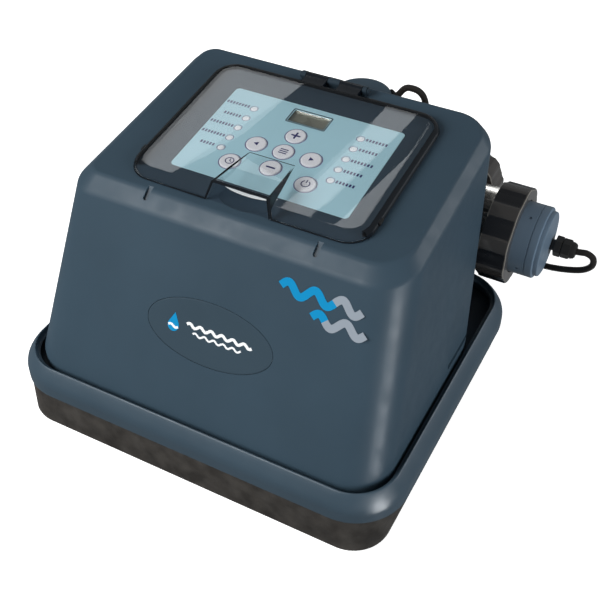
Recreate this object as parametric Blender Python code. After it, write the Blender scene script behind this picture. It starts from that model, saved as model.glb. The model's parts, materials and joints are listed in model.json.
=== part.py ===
import math
import bpy
import bmesh
from mathutils import Matrix, Vector

# Driving dimensions in millimetres, turned into metres by MM where shapes are made.
MM = 0.001
CLEAR = 0.3

BASE_HALF_X = 190.0
BASE_HALF_Y = 160.0
BASE_CORNER_R = 49.0
FOOT_Z = -3.0
FOOT_PROUD = 1.5
TRAY_TOP_Z = 36.7
TRAY_SIDE_INSET = 8.0
TRAY_FRONT_INSET = 0.4
TRAY_CORNER_R = 34.5
FLANGE_LOW_Z = 37.0
FLANGE_EDGE_Z = 47.0
FLANGE_CREST_Z = 64.0
FLANGE_BAND = 9.4
DECK_TOP_Z = 49.8
DECK_THICK = 3.0
DECK_INSET = 10.5

HOUSING_HALF_X = 174.7
HOUSING_FRONT_Y = -143.2
HOUSING_REAR_Y = 86.5
HOUSING_FOOT_Z = 63.0
HOUSING_FOOT_R = 39.1
HOUSING_TOP_R = 38.2
HOUSING_TOP_R_LEFT = 22.0
HOUSING_WALL = 3.0
TOP_Z_AT_ZERO = 227.0
TOP_TILT_DEG = 7.11
FRONT_RAKE_DEG = 26.8
REAR_LEAN_DEG = 19.55
SIDE_DRAFT_DEG = 6.86
TOP_BEVEL = 9.5

PANEL_Y = 37.3
LABEL_U = 168.1
LABEL_V = 116.3
LABEL_THICK = 0.5
PANEL_MID_U = -1.7
KEY_R = 9.0
KEY_TRAVEL = 0.8
LED_R = 3.1
LED_PITCH = 14.55
LED_SPAN = 52.75
LCD_U = 36.0
LCD_V = 16.6
LCD_MID_V = 42.2

LID_HALF_U = 112.2
LID_HALF_V = 85.5
LID_MID_U = -1.6
LID_MID_V = 1.1
LID_R = 23.0
LID_TOP_W = 7.94
LID_WALL = 2.0
LID_LOW_W = 0.3
TAB_MID_U = -1.3
HINGE_V = 94.0
HINGE_W = 5.0
PIN_R = 2.0

CELL_Y = 152.0
CELL_Z = 124.5
CELL_R = 38.7
CELL_BORE_R = 33.8
CELL_NECK_R = 41.6
CELL_X0 = -172.0
CELL_X1 = 172.0
NUT_X0 = 157.8
NUT_X1 = 185.5
NUT_R = 47.0
CAP_R = 34.5
CAP_X1 = 207.5
CAP_STEP_R = 31.5
CAP_STEP_X = 212.2
PORT_XS = (110.5, -110.5)
PORT_SPIGOT_R = 22.0
PORT_BORE_R = 15.0
PORT_NUT_Y0 = 202.0
PORT_NUT_Y1 = 230.0
PORT_NUT_R = 31.5
PORT_TAIL_END = 246.0
GLAND_Y = 167.0
GLAND_Z = 114.5
LEAD_R = 3.1

HOOD_X = 18.5
HOOD_Y = 146.5
HOOD_R = 27.0
HOOD_TOP_Z = 236.5
HOOD_LOW_Z = 204.0

TILT = math.radians(TOP_TILT_DEG)
TOP_SLOPE = math.tan(TILT)
FRONT_SLOPE = math.tan(math.radians(FRONT_RAKE_DEG))
REAR_SLOPE = math.tan(math.radians(REAR_LEAN_DEG))
SIDE_SLOPE = math.tan(math.radians(SIDE_DRAFT_DEG))

X_MAX = 236.5
SHIFT = Vector((-(X_MAX - BASE_HALF_X) / 2.0, -(PORT_TAIL_END - BASE_HALF_Y) / 2.0, -FOOT_Z))

PANEL = (
    Matrix.Translation((0.0, PANEL_Y, TOP_Z_AT_ZERO + PANEL_Y * TOP_SLOPE))
    @ Matrix.Rotation(TILT, 4, "X")
)
FACE_Z = 134.0
FACE_Y = HOUSING_FRONT_Y + (FACE_Z - HOUSING_FOOT_Z) * FRONT_SLOPE
FACE = (
    Matrix.Translation((0.0, FACE_Y, FACE_Z))
    @ Matrix.Rotation(math.radians(90.0 - FRONT_RAKE_DEG), 4, "X")
)
ALONG_X = Matrix(((0, 0, 1, 0), (1, 0, 0, 0), (0, 1, 0, 0), (0, 0, 0, 1)))
ALONG_Y = Matrix(((0, 1, 0, 0), (0, 0, 1, 0), (1, 0, 0, 0), (0, 0, 0, 1)))

for old in list(bpy.data.objects):
    bpy.data.objects.remove(old, do_unlink=True)


def make_material(name, colour, rough, metal=0.0, alpha=1.0):
    """One Principled surface."""
    mat = bpy.data.materials.new(name)
    mat.use_nodes = True
    bsdf = mat.node_tree.nodes["Principled BSDF"]
    bsdf.inputs["Base Color"].default_value = (colour[0], colour[1], colour[2], 1.0)
    bsdf.inputs["Roughness"].default_value = rough
    bsdf.inputs["Metallic"].default_value = metal
    bsdf.inputs["Alpha"].default_value = alpha
    return mat


def add_mesh(name, verts, faces, mat):
    """Make one closed mesh object with its faces pointing out."""
    mesh = bpy.data.meshes.new(name)
    mesh.from_pydata([tuple(v) for v in verts], [], faces)
    shape = bmesh.new()
    shape.from_mesh(mesh)
    bmesh.ops.recalc_face_normals(shape, faces=shape.faces)
    shape.to_mesh(mesh)
    shape.free()
    mesh.materials.append(mat)
    obj = bpy.data.objects.new(name, mesh)
    bpy.context.collection.objects.link(obj)
    return obj


def loft(name, loops, mat, place=None, ring=False):
    """Skin loops of equal length: capped at both ends, or joined end to start for a ring."""
    count = len(loops[0])
    verts = []
    for loop in loops:
        for point in loop:
            vec = Vector(point)
            if place is not None:
                vec = place @ vec
            verts.append((vec + SHIFT) * MM)
    faces = []
    last = len(loops) if ring else len(loops) - 1
    for i in range(last):
        a = i * count
        b = ((i + 1) % len(loops)) * count
        for j in range(count):
            k = (j + 1) % count
            faces.append((a + j, a + k, b + k, b + j))
    if not ring:
        faces.append(tuple(range(count))[::-1])
        faces.append(tuple(range((len(loops) - 1) * count, len(loops) * count)))
    return add_mesh(name, verts, faces, mat)


def rect_loop(x0, x1, y0, y1, radius, z, steps=5):
    """Rounded rectangle at height z."""
    points = []
    corners = (
        (x1 - radius, y0 + radius, -90.0),
        (x1 - radius, y1 - radius, 0.0),
        (x0 + radius, y1 - radius, 90.0),
        (x0 + radius, y0 + radius, 180.0),
    )
    for cx, cy, start in corners:
        for k in range(steps + 1):
            a = math.radians(start + 90.0 * k / steps)
            points.append((cx + radius * math.cos(a), cy + radius * math.sin(a), z))
    return points


def base_loop(inset, z, steps=5):
    """Outline of the base, moved inward by inset."""
    hx = BASE_HALF_X - inset
    hy = BASE_HALF_Y - inset
    return rect_loop(-hx, hx, -hy, hy, BASE_CORNER_R - inset, z, steps)


def tray_loop(inset, z, steps=5):
    """Outline of the narrower bottom of the tray, moved inward by inset."""
    hx = BASE_HALF_X - TRAY_SIDE_INSET - inset
    hy = BASE_HALF_Y - TRAY_FRONT_INSET - inset
    return rect_loop(-hx, hx, -hy, hy, TRAY_CORNER_R - inset, z, steps)


def circle_loop(radius, z, count=32, cx=0.0, cy=0.0, phase=0.0):
    """Regular polygon at height z."""
    points = []
    for k in range(count):
        a = phase + 2.0 * math.pi * k / count
        points.append((cx + radius * math.cos(a), cy + radius * math.sin(a), z))
    return points


def lobe_loop(radius, depth, lobes, z, per_lobe=4):
    """Outline of a ribbed nut: wide lands with narrow grooves between."""
    points = []
    offsets = (0.0, 0.30, 0.60, 0.90) if per_lobe == 4 else (0.0, 0.5)
    levels = (0.0, 0.0, 1.0, 1.0) if per_lobe == 4 else (0.0, 1.0)
    for i in range(lobes):
        for off, low in zip(offsets, levels):
            a = 2.0 * math.pi * (i + off - 0.15) / lobes
            r = radius - depth * low
            points.append((r * math.cos(a), r * math.sin(a), z))
    return points


def solid_of_turn(name, profile, mat, place, count=32):
    """Solid round piece from (radius, height) pairs along its axis."""
    return loft(name, [circle_loop(r, z, count) for r, z in profile], mat, place)


def ring_of_turn(name, profile, mat, place, count=32):
    """Round piece with a through bore, from a closed (radius, height) profile."""
    return loft(name, [circle_loop(r, z, count) for r, z in profile], mat, place, ring=True)


def box(name, lo, hi, mat, place=None):
    """Plain block."""
    loops = []
    for z in (lo[2], hi[2]):
        loops.append([(lo[0], lo[1], z), (hi[0], lo[1], z), (hi[0], hi[1], z), (lo[0], hi[1], z)])
    return loft(name, loops, mat, place)


def combine(target, others, operation):
    """Cut others from the target, or join them to it, and drop them."""
    for other in others:
        step = target.modifiers.new("step", "BOOLEAN")
        step.operation = operation
        step.solver = "EXACT"
        step.object = other
    graph = bpy.context.evaluated_depsgraph_get()
    graph.update()
    mesh = bpy.data.meshes.new_from_object(target.evaluated_get(graph))
    mat = target.data.materials[0]
    target.modifiers.clear()
    target.data = mesh
    mesh.materials.clear()
    mesh.materials.append(mat)
    for other in others:
        bpy.data.objects.remove(other, do_unlink=True)
    return target


SLATE = make_material("slate_plastic", (0.075, 0.115, 0.15), 0.42)
CHARCOAL = make_material("charcoal_plastic", (0.045, 0.04, 0.037), 0.6)
DECK_BLACK = make_material("deck_plastic", (0.01, 0.012, 0.016), 0.55)
RUBBER = make_material("foot_rubber", (0.02, 0.02, 0.02), 0.85)
STEEL = make_material("screw_steel", (0.55, 0.56, 0.58), 0.35, 1.0)
LABEL_BLUE = make_material("label_film", (0.36, 0.60, 0.68), 0.45)
KEY_PALE = make_material("key_plastic", (0.72, 0.70, 0.74), 0.4)
LCD_CLEAR = make_material("window_acrylic", (0.42, 0.42, 0.36), 0.12)
LCD_GLASS = make_material("display_glass", (0.28, 0.28, 0.22), 0.3)
PIPE_CLEAR = make_material("light_pipe_acrylic", (0.80, 0.84, 0.88), 0.25)
BOARD_GREEN = make_material("circuit_board", (0.03, 0.16, 0.08), 0.5)
LID_CLEAR = make_material("lid_acrylic", (0.62, 0.68, 0.72), 0.06, 0.0, 0.25)
CELL_CLEAR = make_material("cell_acrylic", (0.50, 0.52, 0.54), 0.12, 0.0, 0.5)
NUT_BLACK = make_material("nut_smoked_plastic", (0.03, 0.024, 0.02), 0.18)
TITANIUM = make_material("plate_titanium", (0.35, 0.34, 0.33), 0.4, 1.0)
SEAL = make_material("seal_rubber", (0.015, 0.015, 0.015), 0.8)
GLAND_BLACK = make_material("gland_nylon", (0.02, 0.02, 0.022), 0.5)
LEAD_BLACK = make_material("lead_sheath", (0.025, 0.023, 0.022), 0.5)
COPPER = make_material("transformer_iron", (0.16, 0.13, 0.11), 0.5, 0.6)
ALU = make_material("heat_sink_aluminium", (0.6, 0.61, 0.62), 0.35, 1.0)
TERMINAL = make_material("terminal_plastic", (0.08, 0.20, 0.14), 0.5)


# ---- base: tray, feet, screws, flange, deck ----
tray = loft(
    "base_tray",
    [
        tray_loop(1.0, FOOT_Z + FOOT_PROUD),
        tray_loop(0.0, FOOT_Z + FOOT_PROUD + 1.0),
        base_loop(1.4, TRAY_TOP_Z),
        base_loop(5.2, TRAY_TOP_Z),
        tray_loop(3.8, FOOT_Z + 5.0),
    ],
    CHARCOAL,
)
foot_cutters = []
screw_cutters = []
POSTS = [(sx * 142.0, sy * 112.0) for sx in (-1, 1) for sy in (-1, 1)]
FEET = [(sx * 158.0, sy * 128.0) for sx in (-1, 1) for sy in (-1, 1)]
for i, (px, py) in enumerate(FEET):
    spot = Matrix.Translation((px, py, FOOT_Z))
    foot_cutters.append(solid_of_turn("pocket", [(12.4, -1.0), (12.4, 3.2)], CHARCOAL, spot, 14))
    solid_of_turn("rubber_foot_%d" % i, [(11.0, 0.0), (12.0, 0.8), (12.0, 3.1)], RUBBER, spot, 14)
for i, (px, py) in enumerate(POSTS):
    spot = Matrix.Translation((px, py, FOOT_Z))
    screw_cutters.append(
        solid_of_turn("hole", [(4.4, 0.0), (4.4, 3.6), (2.3, 3.6), (2.3, 8.0)], CHARCOAL, spot, 12)
    )
    screw = solid_of_turn(
        "base_screw_%d" % i, [(4.0, 1.8), (4.0, 3.5), (1.8, 3.5), (1.8, 22.0)], STEEL, spot, 12
    )
    slots = []
    for turn in (0.0, 90.0):
        cross = spot @ Matrix.Rotation(math.radians(turn), 4, "Z")
        slots.append(box("slot", (-2.4, -0.5, 1.0), (2.4, 0.5, 2.7), STEEL, cross))
    combine(screw, slots, "DIFFERENCE")
combine(tray, foot_cutters + screw_cutters, "DIFFERENCE")

loft(
    "flange_ring",
    [
        base_loop(0.0, FLANGE_LOW_Z),
        base_loop(0.0, FLANGE_EDGE_Z),
        base_loop(0.6, FLANGE_EDGE_Z + 3.8),
        base_loop(2.0, FLANGE_EDGE_Z + 7.4),
        base_loop(4.2, FLANGE_EDGE_Z + 11.0),
        base_loop(6.6, FLANGE_EDGE_Z + 14.4),
        base_loop(FLANGE_BAND - 1.0, FLANGE_CREST_Z - 0.5),
        base_loop(FLANGE_BAND, FLANGE_CREST_Z),
        base_loop(FLANGE_BAND + 0.8, FLANGE_CREST_Z - 0.8),
        base_loop(FLANGE_BAND + 0.8, DECK_TOP_Z - DECK_THICK - 0.2),
        base_loop(14.5, DECK_TOP_Z - DECK_THICK - 0.2),
        base_loop(14.5, 43.0),
        base_loop(5.0, 40.0),
        base_loop(5.0, FLANGE_LOW_Z),
    ],
    SLATE,
    ring=True,
)

deck = loft(
    "deck_plate",
    [base_loop(DECK_INSET, DECK_TOP_Z - DECK_THICK), base_loop(DECK_INSET, DECK_TOP_Z)],
    DECK_BLACK,
)
posts = []
pilots = []
for px, py in POSTS:
    spot = Matrix.Translation((px, py, FOOT_Z))
    top = DECK_TOP_Z - 1.5 - FOOT_Z
    posts.append(solid_of_turn("post", [(5.5, 5.3), (5.5, top)], DECK_BLACK, spot, 12))
    pilots.append(solid_of_turn("pilot", [(2.1, 4.0), (2.1, 26.0)], DECK_BLACK, spot, 10))
combine(deck, posts, "UNION")
slot = loft(
    "slot",
    [rect_loop(-18.0, 18.0, 0.0, 24.0, 5.0, 40.0, 3), rect_loop(-18.0, 18.0, 0.0, 24.0, 5.0, 60.0, 3)],
    DECK_BLACK,
)
combine(deck, pilots + [slot], "DIFFERENCE")


# ---- housing ----
def crown_loop(inset, drop, steps=6):
    """Outline of the tapering housing where a plane parallel to its top meets it."""
    level = TOP_Z_AT_ZERO - drop
    rise = level - HOUSING_FOOT_Z
    y_front = (HOUSING_FRONT_Y + rise * FRONT_SLOPE) / (1.0 - TOP_SLOPE * FRONT_SLOPE) + inset
    y_rear = (HOUSING_REAR_Y + rise * REAR_SLOPE) / (1.0 - TOP_SLOPE * REAR_SLOPE) - inset
    right = HOUSING_TOP_R - inset
    left = HOUSING_TOP_R_LEFT - inset
    points = []
    corners = ((1, right, y_front + right, -90), (1, right, y_rear - right, 0))
    corners += ((-1, left, y_rear - left, 90), (-1, left, y_front + left, 180))
    for side, radius, cy, start in corners:
        for k in range(steps + 1):
            a = math.radians(start + 90.0 * k / steps)
            y = cy + radius * math.sin(a)
            half = HOUSING_HALF_X - (level + y * TOP_SLOPE - HOUSING_FOOT_Z) * SIDE_SLOPE - inset
            x = side * (half - radius) + radius * math.cos(a)
            points.append((x, y, level + y * TOP_SLOPE))
    return points


def foot_loop(inset, z, steps=6):
    """Outline of the housing at its foot."""
    hx = HOUSING_HALF_X - inset
    y0 = HOUSING_FRONT_Y + inset
    y1 = HOUSING_REAR_Y - inset
    return rect_loop(-hx, hx, y0, y1, HOUSING_FOOT_R - inset, z, steps)


def rear_wall_y(z):
    """Where the outer face of the leaning rear wall is at height z."""
    return HOUSING_REAR_Y + (z - HOUSING_FOOT_Z) * REAR_SLOPE


HOUSING_LOW_Z = DECK_TOP_Z + CLEAR
WALL = HOUSING_WALL
housing = loft(
    "housing_shell",
    [
        crown_loop(WALL + TOP_BEVEL - 1.0, WALL),
        crown_loop(WALL, WALL + TOP_BEVEL - 1.0),
        foot_loop(WALL, HOUSING_FOOT_Z),
        foot_loop(WALL, HOUSING_LOW_Z),
        foot_loop(0.0, HOUSING_LOW_Z),
        foot_loop(0.0, HOUSING_FOOT_Z),
        crown_loop(0.0, TOP_BEVEL),
        crown_loop(0.25 * TOP_BEVEL, 0.33 * TOP_BEVEL),
        crown_loop(0.68 * TOP_BEVEL, 0.04 * TOP_BEVEL),
        crown_loop(TOP_BEVEL, 0.0),
    ],
    SLATE,
)

KEYS = {
    "key_plus": (0.0, 16.9),
    "key_left": (-26.6, -5.8),
    "key_menu": (0.0, -5.8),
    "key_right": (26.6, -5.8),
    "key_minus": (0.0, -28.6),
    "key_timer": (-36.3, -34.9),
    "key_power": (36.3, -34.9),
}
LED_VS = [36.4 - LED_PITCH * i for i in range(5)]


def panel_cutters(low_w, high_w, slack):
    """Tools for the key, lamp and display openings, in panel coordinates."""
    tools = []
    for u, v in KEYS.values():
        spot = PANEL @ Matrix.Translation((PANEL_MID_U + u, v, 0.0))
        profile = [(KEY_R + slack, low_w), (KEY_R + slack, high_w)]
        tools.append(solid_of_turn("tool", profile, SLATE, spot, 18))
    for side in (-1.0, 1.0):
        for v in LED_VS:
            spot = PANEL @ Matrix.Translation((PANEL_MID_U + side * LED_SPAN, v, 0.0))
            profile = [(LED_R + slack, low_w), (LED_R + slack, high_w)]
            tools.append(solid_of_turn("tool", profile, SLATE, spot, 10))
    hu = LCD_U / 2.0 + slack - CLEAR
    hv = LCD_V / 2.0 + slack - CLEAR
    lo = (PANEL_MID_U - hu, LCD_MID_V - hv, low_w)
    hi = (PANEL_MID_U + hu, LCD_MID_V + hv, high_w)
    tools.append(box("tool", lo, hi, SLATE, PANEL))
    return tools


def label_loops(half_u, half_v, low_w, high_w):
    """Rounded plate outline at two levels, in panel coordinates."""
    return [
        rect_loop(-half_u, half_u, -half_v, half_v, 4.0, low_w, 4),
        rect_loop(-half_u, half_u, -half_v, half_v, 4.0, high_w, 4),
    ]


pocket = loft("tool", label_loops(LABEL_U / 2 + 0.3, LABEL_V / 2 + 0.3, -0.6, 6.0), SLATE, PANEL)
combine(housing, [pocket], "DIFFERENCE")
combine(housing, panel_cutters(-8.0, 8.0, CLEAR), "DIFFERENCE")

SCOOP_V = -72.5
scoop_loops = []
for radius, depth in ((25.6, 1.0), (23.0, 0.0), (16.5, -1.1), (8.5, -1.85), (1.0, -2.1)):
    loop = []
    for k in range(18):
        a = 2.0 * math.pi * k / 18
        loop.append((TAB_MID_U + radius * math.cos(a), SCOOP_V + 0.5 * radius * math.sin(a), depth))
    scoop_loops.append(loop)
scoop = loft("tool", scoop_loops, SLATE, PANEL)
combine(housing, [scoop], "DIFFERENCE")
notches = []
for side in (-1.0, 1.0):
    x = -2.5 + side * 79.2
    lean = PANEL @ Matrix.Translation((x, -94.0, -2.9)) @ Matrix.Rotation(math.radians(32.0), 4, "X")
    notches.append(box("tool", (-2.2, -7.5, -1.0), (2.2, 9.0, 8.0), SLATE, lean))
combine(housing, notches, "DIFFERENCE")

side_tools = []
for side in (-1.0, 1.0):
    loops = []
    for z in (68.5, 117.0):
        wall_x = HOUSING_HALF_X - (z - HOUSING_FOOT_Z) * SIDE_SLOPE
        y0 = 10.5 - (z - 68.5) * 0.05
        xa = side * (wall_x - 1.8)
        xb = side * (wall_x + 12.0)
        loops.append([(xa, y0, z), (xb, y0, z), (xb, 120.0, z), (xa, 120.0, z)])
    side_tools.append(loft("tool", loops, SLATE))
combine(housing, side_tools, "DIFFERENCE")

OVAL_X = 2.6
OVAL_HALF_X = 60.0
OVAL_HALF_S = 27.5


def oval_loop(scale_in, w, count=30):
    """Badge outline in the front face's coordinates."""
    points = []
    for k in range(count):
        a = 2.0 * math.pi * k / count
        x = OVAL_X + (OVAL_HALF_X - scale_in) * math.cos(a)
        points.append((x, (OVAL_HALF_S - scale_in) * math.sin(a), w))
    return points


combine(housing, [loft("tool", [oval_loop(-0.3, -0.9), oval_loop(-0.3, 5.0)], SLATE, FACE)], "DIFFERENCE")
loft("front_badge", [oval_loop(0.0, -0.8), oval_loop(0.0, 0.1), oval_loop(0.7, 0.5)], SLATE, FACE)

INLET_X = -95.0
INLET_Z = 200.0
INLET = (
    Matrix.Translation((INLET_X, rear_wall_y(INLET_Z), INLET_Z))
    @ Matrix.Rotation(math.radians(-90.0 - REAR_LEAN_DEG), 4, "X")
)
combine(housing, [solid_of_turn("tool", [(10.6, -9.0), (10.6, 6.0)], SLATE, INLET, 18)], "DIFFERENCE")
solid_of_turn(
    "mains_gland",
    [
        (10.2, -8.0),
        (10.2, 0.3),
        (17.0, 0.3),
        (17.0, 3.0),
        (11.5, 3.6),
        (11.5, 11.0),
        (9.6, 15.0),
        (6.4, 18.0),
        (4.2, 18.0),
        (4.2, 16.8),
    ],
    GLAND_BLACK,
    INLET,
    18,
)


# ---- control panel ----
label = loft(
    "membrane_label",
    label_loops(LABEL_U / 2, LABEL_V / 2, -LABEL_THICK - 0.05, -0.05),
    LABEL_BLUE,
    PANEL,
)
combine(label, panel_cutters(-3.0, 3.0, 0.25), "DIFFERENCE")

for key_name, (u, v) in KEYS.items():
    spot = PANEL @ Matrix.Translation((PANEL_MID_U + u, v, 0.0))
    solid_of_turn(
        key_name,
        [
            (2.0, -8.0),
            (2.0, -4.6),
            (10.4, -4.6),
            (10.4, -3.4),
            (KEY_R, -3.4),
            (KEY_R, 0.35),
            (KEY_R - 0.9, 0.9),
        ],
        KEY_PALE,
        spot,
        14,
    )

for side, side_name in ((-1.0, "left"), (1.0, "right")):
    u = PANEL_MID_U + side * LED_SPAN
    bar = box(
        "light_pipe_" + side_name,
        (u - 4.0, LED_VS[4] - 5.0, -5.6),
        (u + 4.0, LED_VS[0] + 5.0, -3.4),
        PIPE_CLEAR,
        PANEL,
    )
    stems = []
    for v in LED_VS:
        spot = PANEL @ Matrix.Translation((u, v, 0.0))
        stems.append(solid_of_turn("stem", [(LED_R, -4.6), (LED_R, -0.1)], PIPE_CLEAR, spot, 10))
    combine(bar, stems, "UNION")

box(
    "lcd_window",
    (PANEL_MID_U - LCD_U / 2 + 0.3, LCD_MID_V - LCD_V / 2 + 0.3, -2.6),
    (PANEL_MID_U + LCD_U / 2 - 0.3, LCD_MID_V + LCD_V / 2 - 0.3, -0.25),
    LCD_CLEAR,
    PANEL,
)
box("lcd_module", (-23.7, 29.5, -7.4), (20.3, 54.9, -3.3), LCD_GLASS, PANEL)

board = box("control_board", (-76.0, -52.0, -11.6), (76.0, 56.5, -10.0), BOARD_GREEN, PANEL)
lumps = []
for u, v in KEYS.values():
    spot = PANEL @ Matrix.Translation((PANEL_MID_U + u, v, 0.0))
    lumps.append(solid_of_turn("lump", [(3.0, -10.8), (3.0, -9.5), (1.5, -9.4), (1.5, -8.95)], BOARD_GREEN, spot, 8))
for u in (-71.0, 71.0):
    for v in (-47.0, 51.5):
        spot = PANEL @ Matrix.Translation((u, v, 0.0))
        lumps.append(solid_of_turn("lump", [(3.0, -10.8), (3.0, -3.3)], BOARD_GREEN, spot, 8))
lumps.append(box("lump", (-20.0, 31.0, -10.8), (16.0, 53.0, -7.7), BOARD_GREEN, PANEL))
combine(board, lumps, "UNION")


# ---- lid with its finger tab and hinge ----
def lid_loop(inset, w, steps=6):
    """Outline of the lid in panel coordinates."""
    hu = LID_HALF_U - inset
    hv = LID_HALF_V - inset
    return rect_loop(
        LID_MID_U - hu, LID_MID_U + hu, LID_MID_V - hv, LID_MID_V + hv, LID_R - inset, w, steps
    )


def tab_solid(name, thin):
    """Wedge of the finger tab: thin is how far its skin is moved inward."""
    slope = (16.67 - 7.6) / 51.9
    front_v = -76.9 if thin == 0.0 else -96.0
    low_v = -85.2 if thin == 0.0 else -96.0
    low_w = LID_LOW_W + 0.25 if thin == 0.0 else -1.5
    rear_v = -25.0 - 1.5 * thin
    top_front = 7.6 + (-25.0 - front_v) * slope - thin * 1.02
    top_rear = 7.6 + (-25.0 - rear_v) * slope - thin * 1.02
    half_rear = 21.7 - thin
    half_front = 21.7 + (-25.0 - front_v) * 0.083 - thin
    foot_rear = 24.0 - thin
    foot_front = 24.0 + (-25.0 - low_v) * 0.125 - thin
    loops = []
    for s in (-1.0, 1.0):
        loops.append(
            [
                (TAB_MID_U + s * foot_rear, rear_v, low_w),
                (TAB_MID_U + s * half_rear, rear_v, top_rear),
                (TAB_MID_U + s * half_front, front_v, top_front),
                (TAB_MID_U + s * foot_front, low_v, low_w),
            ]
        )
    return loft(name, loops, LID_CLEAR, PANEL)


PIVOT = PANEL @ Matrix.Translation((0.0, HINGE_V, HINGE_W)) @ ALONG_X
lid = loft(
    "clear_lid",
    [
        lid_loop(0.0, LID_LOW_W),
        lid_loop(0.8, LID_TOP_W - 1.5),
        lid_loop(1.3, LID_TOP_W - 0.5),
        lid_loop(2.4, LID_TOP_W),
    ],
    LID_CLEAR,
    PANEL,
)
tongues = [tab_solid("tab", 0.0)]
LID_KNUCKLES = ((-30.2, -8.2), (4.2, 26.2))
for u0, u1 in LID_KNUCKLES:
    tongues.append(box("tongue", (u0 + 0.4, 83.0, 2.8), (u1 - 0.4, HINGE_V, 7.2), LID_CLEAR, PANEL))
    tongues.append(solid_of_turn("knuckle", [(3.6, u0), (3.6, u1)], LID_CLEAR, PIVOT, 16))
combine(lid, tongues, "UNION")
cavity = loft(
    "cavity",
    [lid_loop(LID_WALL, -1.0), lid_loop(LID_WALL + 0.9, LID_TOP_W - LID_WALL)],
    LID_CLEAR,
    PANEL,
)
bore = solid_of_turn("bore", [(PIN_R + 0.1, -40.0), (PIN_R + 0.1, 40.0)], LID_CLEAR, PIVOT, 16)
combine(lid, [cavity, tab_solid("tab", LID_WALL), bore], "DIFFERENCE")
nubs = []
for side, v in ((-1.0, -52.0), (1.0, -52.0)):
    spot = PANEL @ Matrix.Translation((LID_MID_U + side * (LID_HALF_U + 0.1), v, 2.4))
    nubs.append(box("nub", (-1.1, -3.5, -1.4), (1.1, 3.5, 1.4), LID_CLEAR, spot))
combine(lid, nubs, "UNION")

bracket = box("hinge_bracket", (-36.0, 89.0, 0.1), (32.0, 99.5, 1.15), SLATE, PANEL)
ears = []
for u0, u1 in ((-34.6, -30.6), (-7.8, 3.8), (26.6, 30.6)):
    ears.append(box("ear", (u0 + 0.3, 90.5, 0.6), (u1 - 0.3, 97.5, HINGE_W), SLATE, PANEL))
    ears.append(solid_of_turn("ear", [(3.8, u0), (3.8, u1)], SLATE, PIVOT, 16))
combine(bracket, ears, "UNION")
bore = solid_of_turn("bore", [(PIN_R + 0.1, -40.0), (PIN_R + 0.1, 40.0)], SLATE, PIVOT, 16)
combine(bracket, [bore], "DIFFERENCE")
solid_of_turn(
    "hinge_pin",
    [(3.0, -36.6), (3.0, -35.0), (PIN_R, -35.0), (PIN_R, 31.0), (3.0, 31.0), (3.0, 32.6)],
    STEEL,
    PIVOT,
    16,
)


# ---- cable hood on the rear wall ----
def hood_loop(inset, z, count=12):
    """D-shaped outline whose straight side follows the leaning wall."""
    wall = rear_wall_y(z) + CLEAR
    radius = HOOD_R - inset
    points = [(HOOD_X - radius, wall, z), (HOOD_X + radius, wall, z)]
    for k in range(count + 1):
        a = math.pi * k / count
        points.append((HOOD_X + radius * math.cos(a), HOOD_Y + radius * math.sin(a), z))
    return points


hood = loft(
    "cable_hood",
    [
        hood_loop(3.0, HOOD_LOW_Z),
        hood_loop(0.0, HOOD_LOW_Z + 3.0),
        hood_loop(0.0, HOOD_TOP_Z - 3.0),
        hood_loop(0.9, HOOD_TOP_Z - 0.9),
        hood_loop(3.0, HOOD_TOP_Z),
    ],
    SLATE,
)
OUTLET_Z = 228.0
OUTLET_ANGLE = math.radians(40.0)
OUTLET_TURN = Matrix.Rotation(OUTLET_ANGLE, 4, "Z")
OUTLET = Matrix.Translation((HOOD_X, HOOD_Y, OUTLET_Z)) @ OUTLET_TURN @ ALONG_X
combine(
    hood, [solid_of_turn("tool", [(LEAD_R + 1.9, 10.0), (LEAD_R + 1.9, 40.0)], SLATE, OUTLET, 16)], "DIFFERENCE"
)
ring_of_turn(
    "hood_grommet",
    [
        (LEAD_R + 0.3, HOOD_R - 11.0),
        (LEAD_R + 1.6, HOOD_R - 11.0),
        (LEAD_R + 1.6, HOOD_R + 0.9),
        (LEAD_R + 3.1, HOOD_R + 0.9),
        (LEAD_R + 3.1, HOOD_R + 2.3),
        (LEAD_R + 1.4, HOOD_R + 4.1),
        (LEAD_R + 0.4, HOOD_R + 4.1),
    ],
    RUBBER,
    OUTLET,
    16,
)


# ---- electrolysis cell ----
CELL = Matrix.Translation((0.0, CELL_Y, CELL_Z)) @ ALONG_X


def port_frame(x):
    """Axis of a hose port: from the cell axis straight to the rear."""
    return Matrix.Translation((x, CELL_Y, CELL_Z)) @ ALONG_Y


cell = loft(
    "cell_body",
    [
        circle_loop(CELL_NECK_R, CELL_X0, 28),
        circle_loop(CELL_NECK_R, CELL_X0 + 12.0, 28),
        circle_loop(CELL_R, CELL_X0 + 14.5, 28),
        circle_loop(CELL_R, CELL_X1 - 14.5, 28),
        circle_loop(CELL_NECK_R, CELL_X1 - 12.0, 28),
        circle_loop(CELL_NECK_R, CELL_X1, 28),
    ],
    CELL_CLEAR,
    CELL,
)
spigots = []
bores = [solid_of_turn("bore", [(CELL_BORE_R, -200.0), (CELL_BORE_R, 200.0)], CELL_CLEAR, CELL, 28)]
for x in PORT_XS:
    frame = port_frame(x)
    spigots.append(
        solid_of_turn(
            "spigot",
            [
                (PORT_SPIGOT_R, 10.0),
                (PORT_SPIGOT_R, PORT_NUT_Y0 - CELL_Y + 1.0),
                (PORT_SPIGOT_R + 4.0, PORT_NUT_Y0 - CELL_Y + 3.0),
                (PORT_SPIGOT_R + 4.0, PORT_NUT_Y0 - CELL_Y + 14.0),
            ],
            CELL_CLEAR,
            frame,
            20,
        )
    )
    bores.append(solid_of_turn("bore", [(17.5, 5.0), (17.5, 90.0)], CELL_CLEAR, frame, 16))
combine(cell, spigots, "UNION")
combine(cell, bores, "DIFFERENCE")


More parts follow.
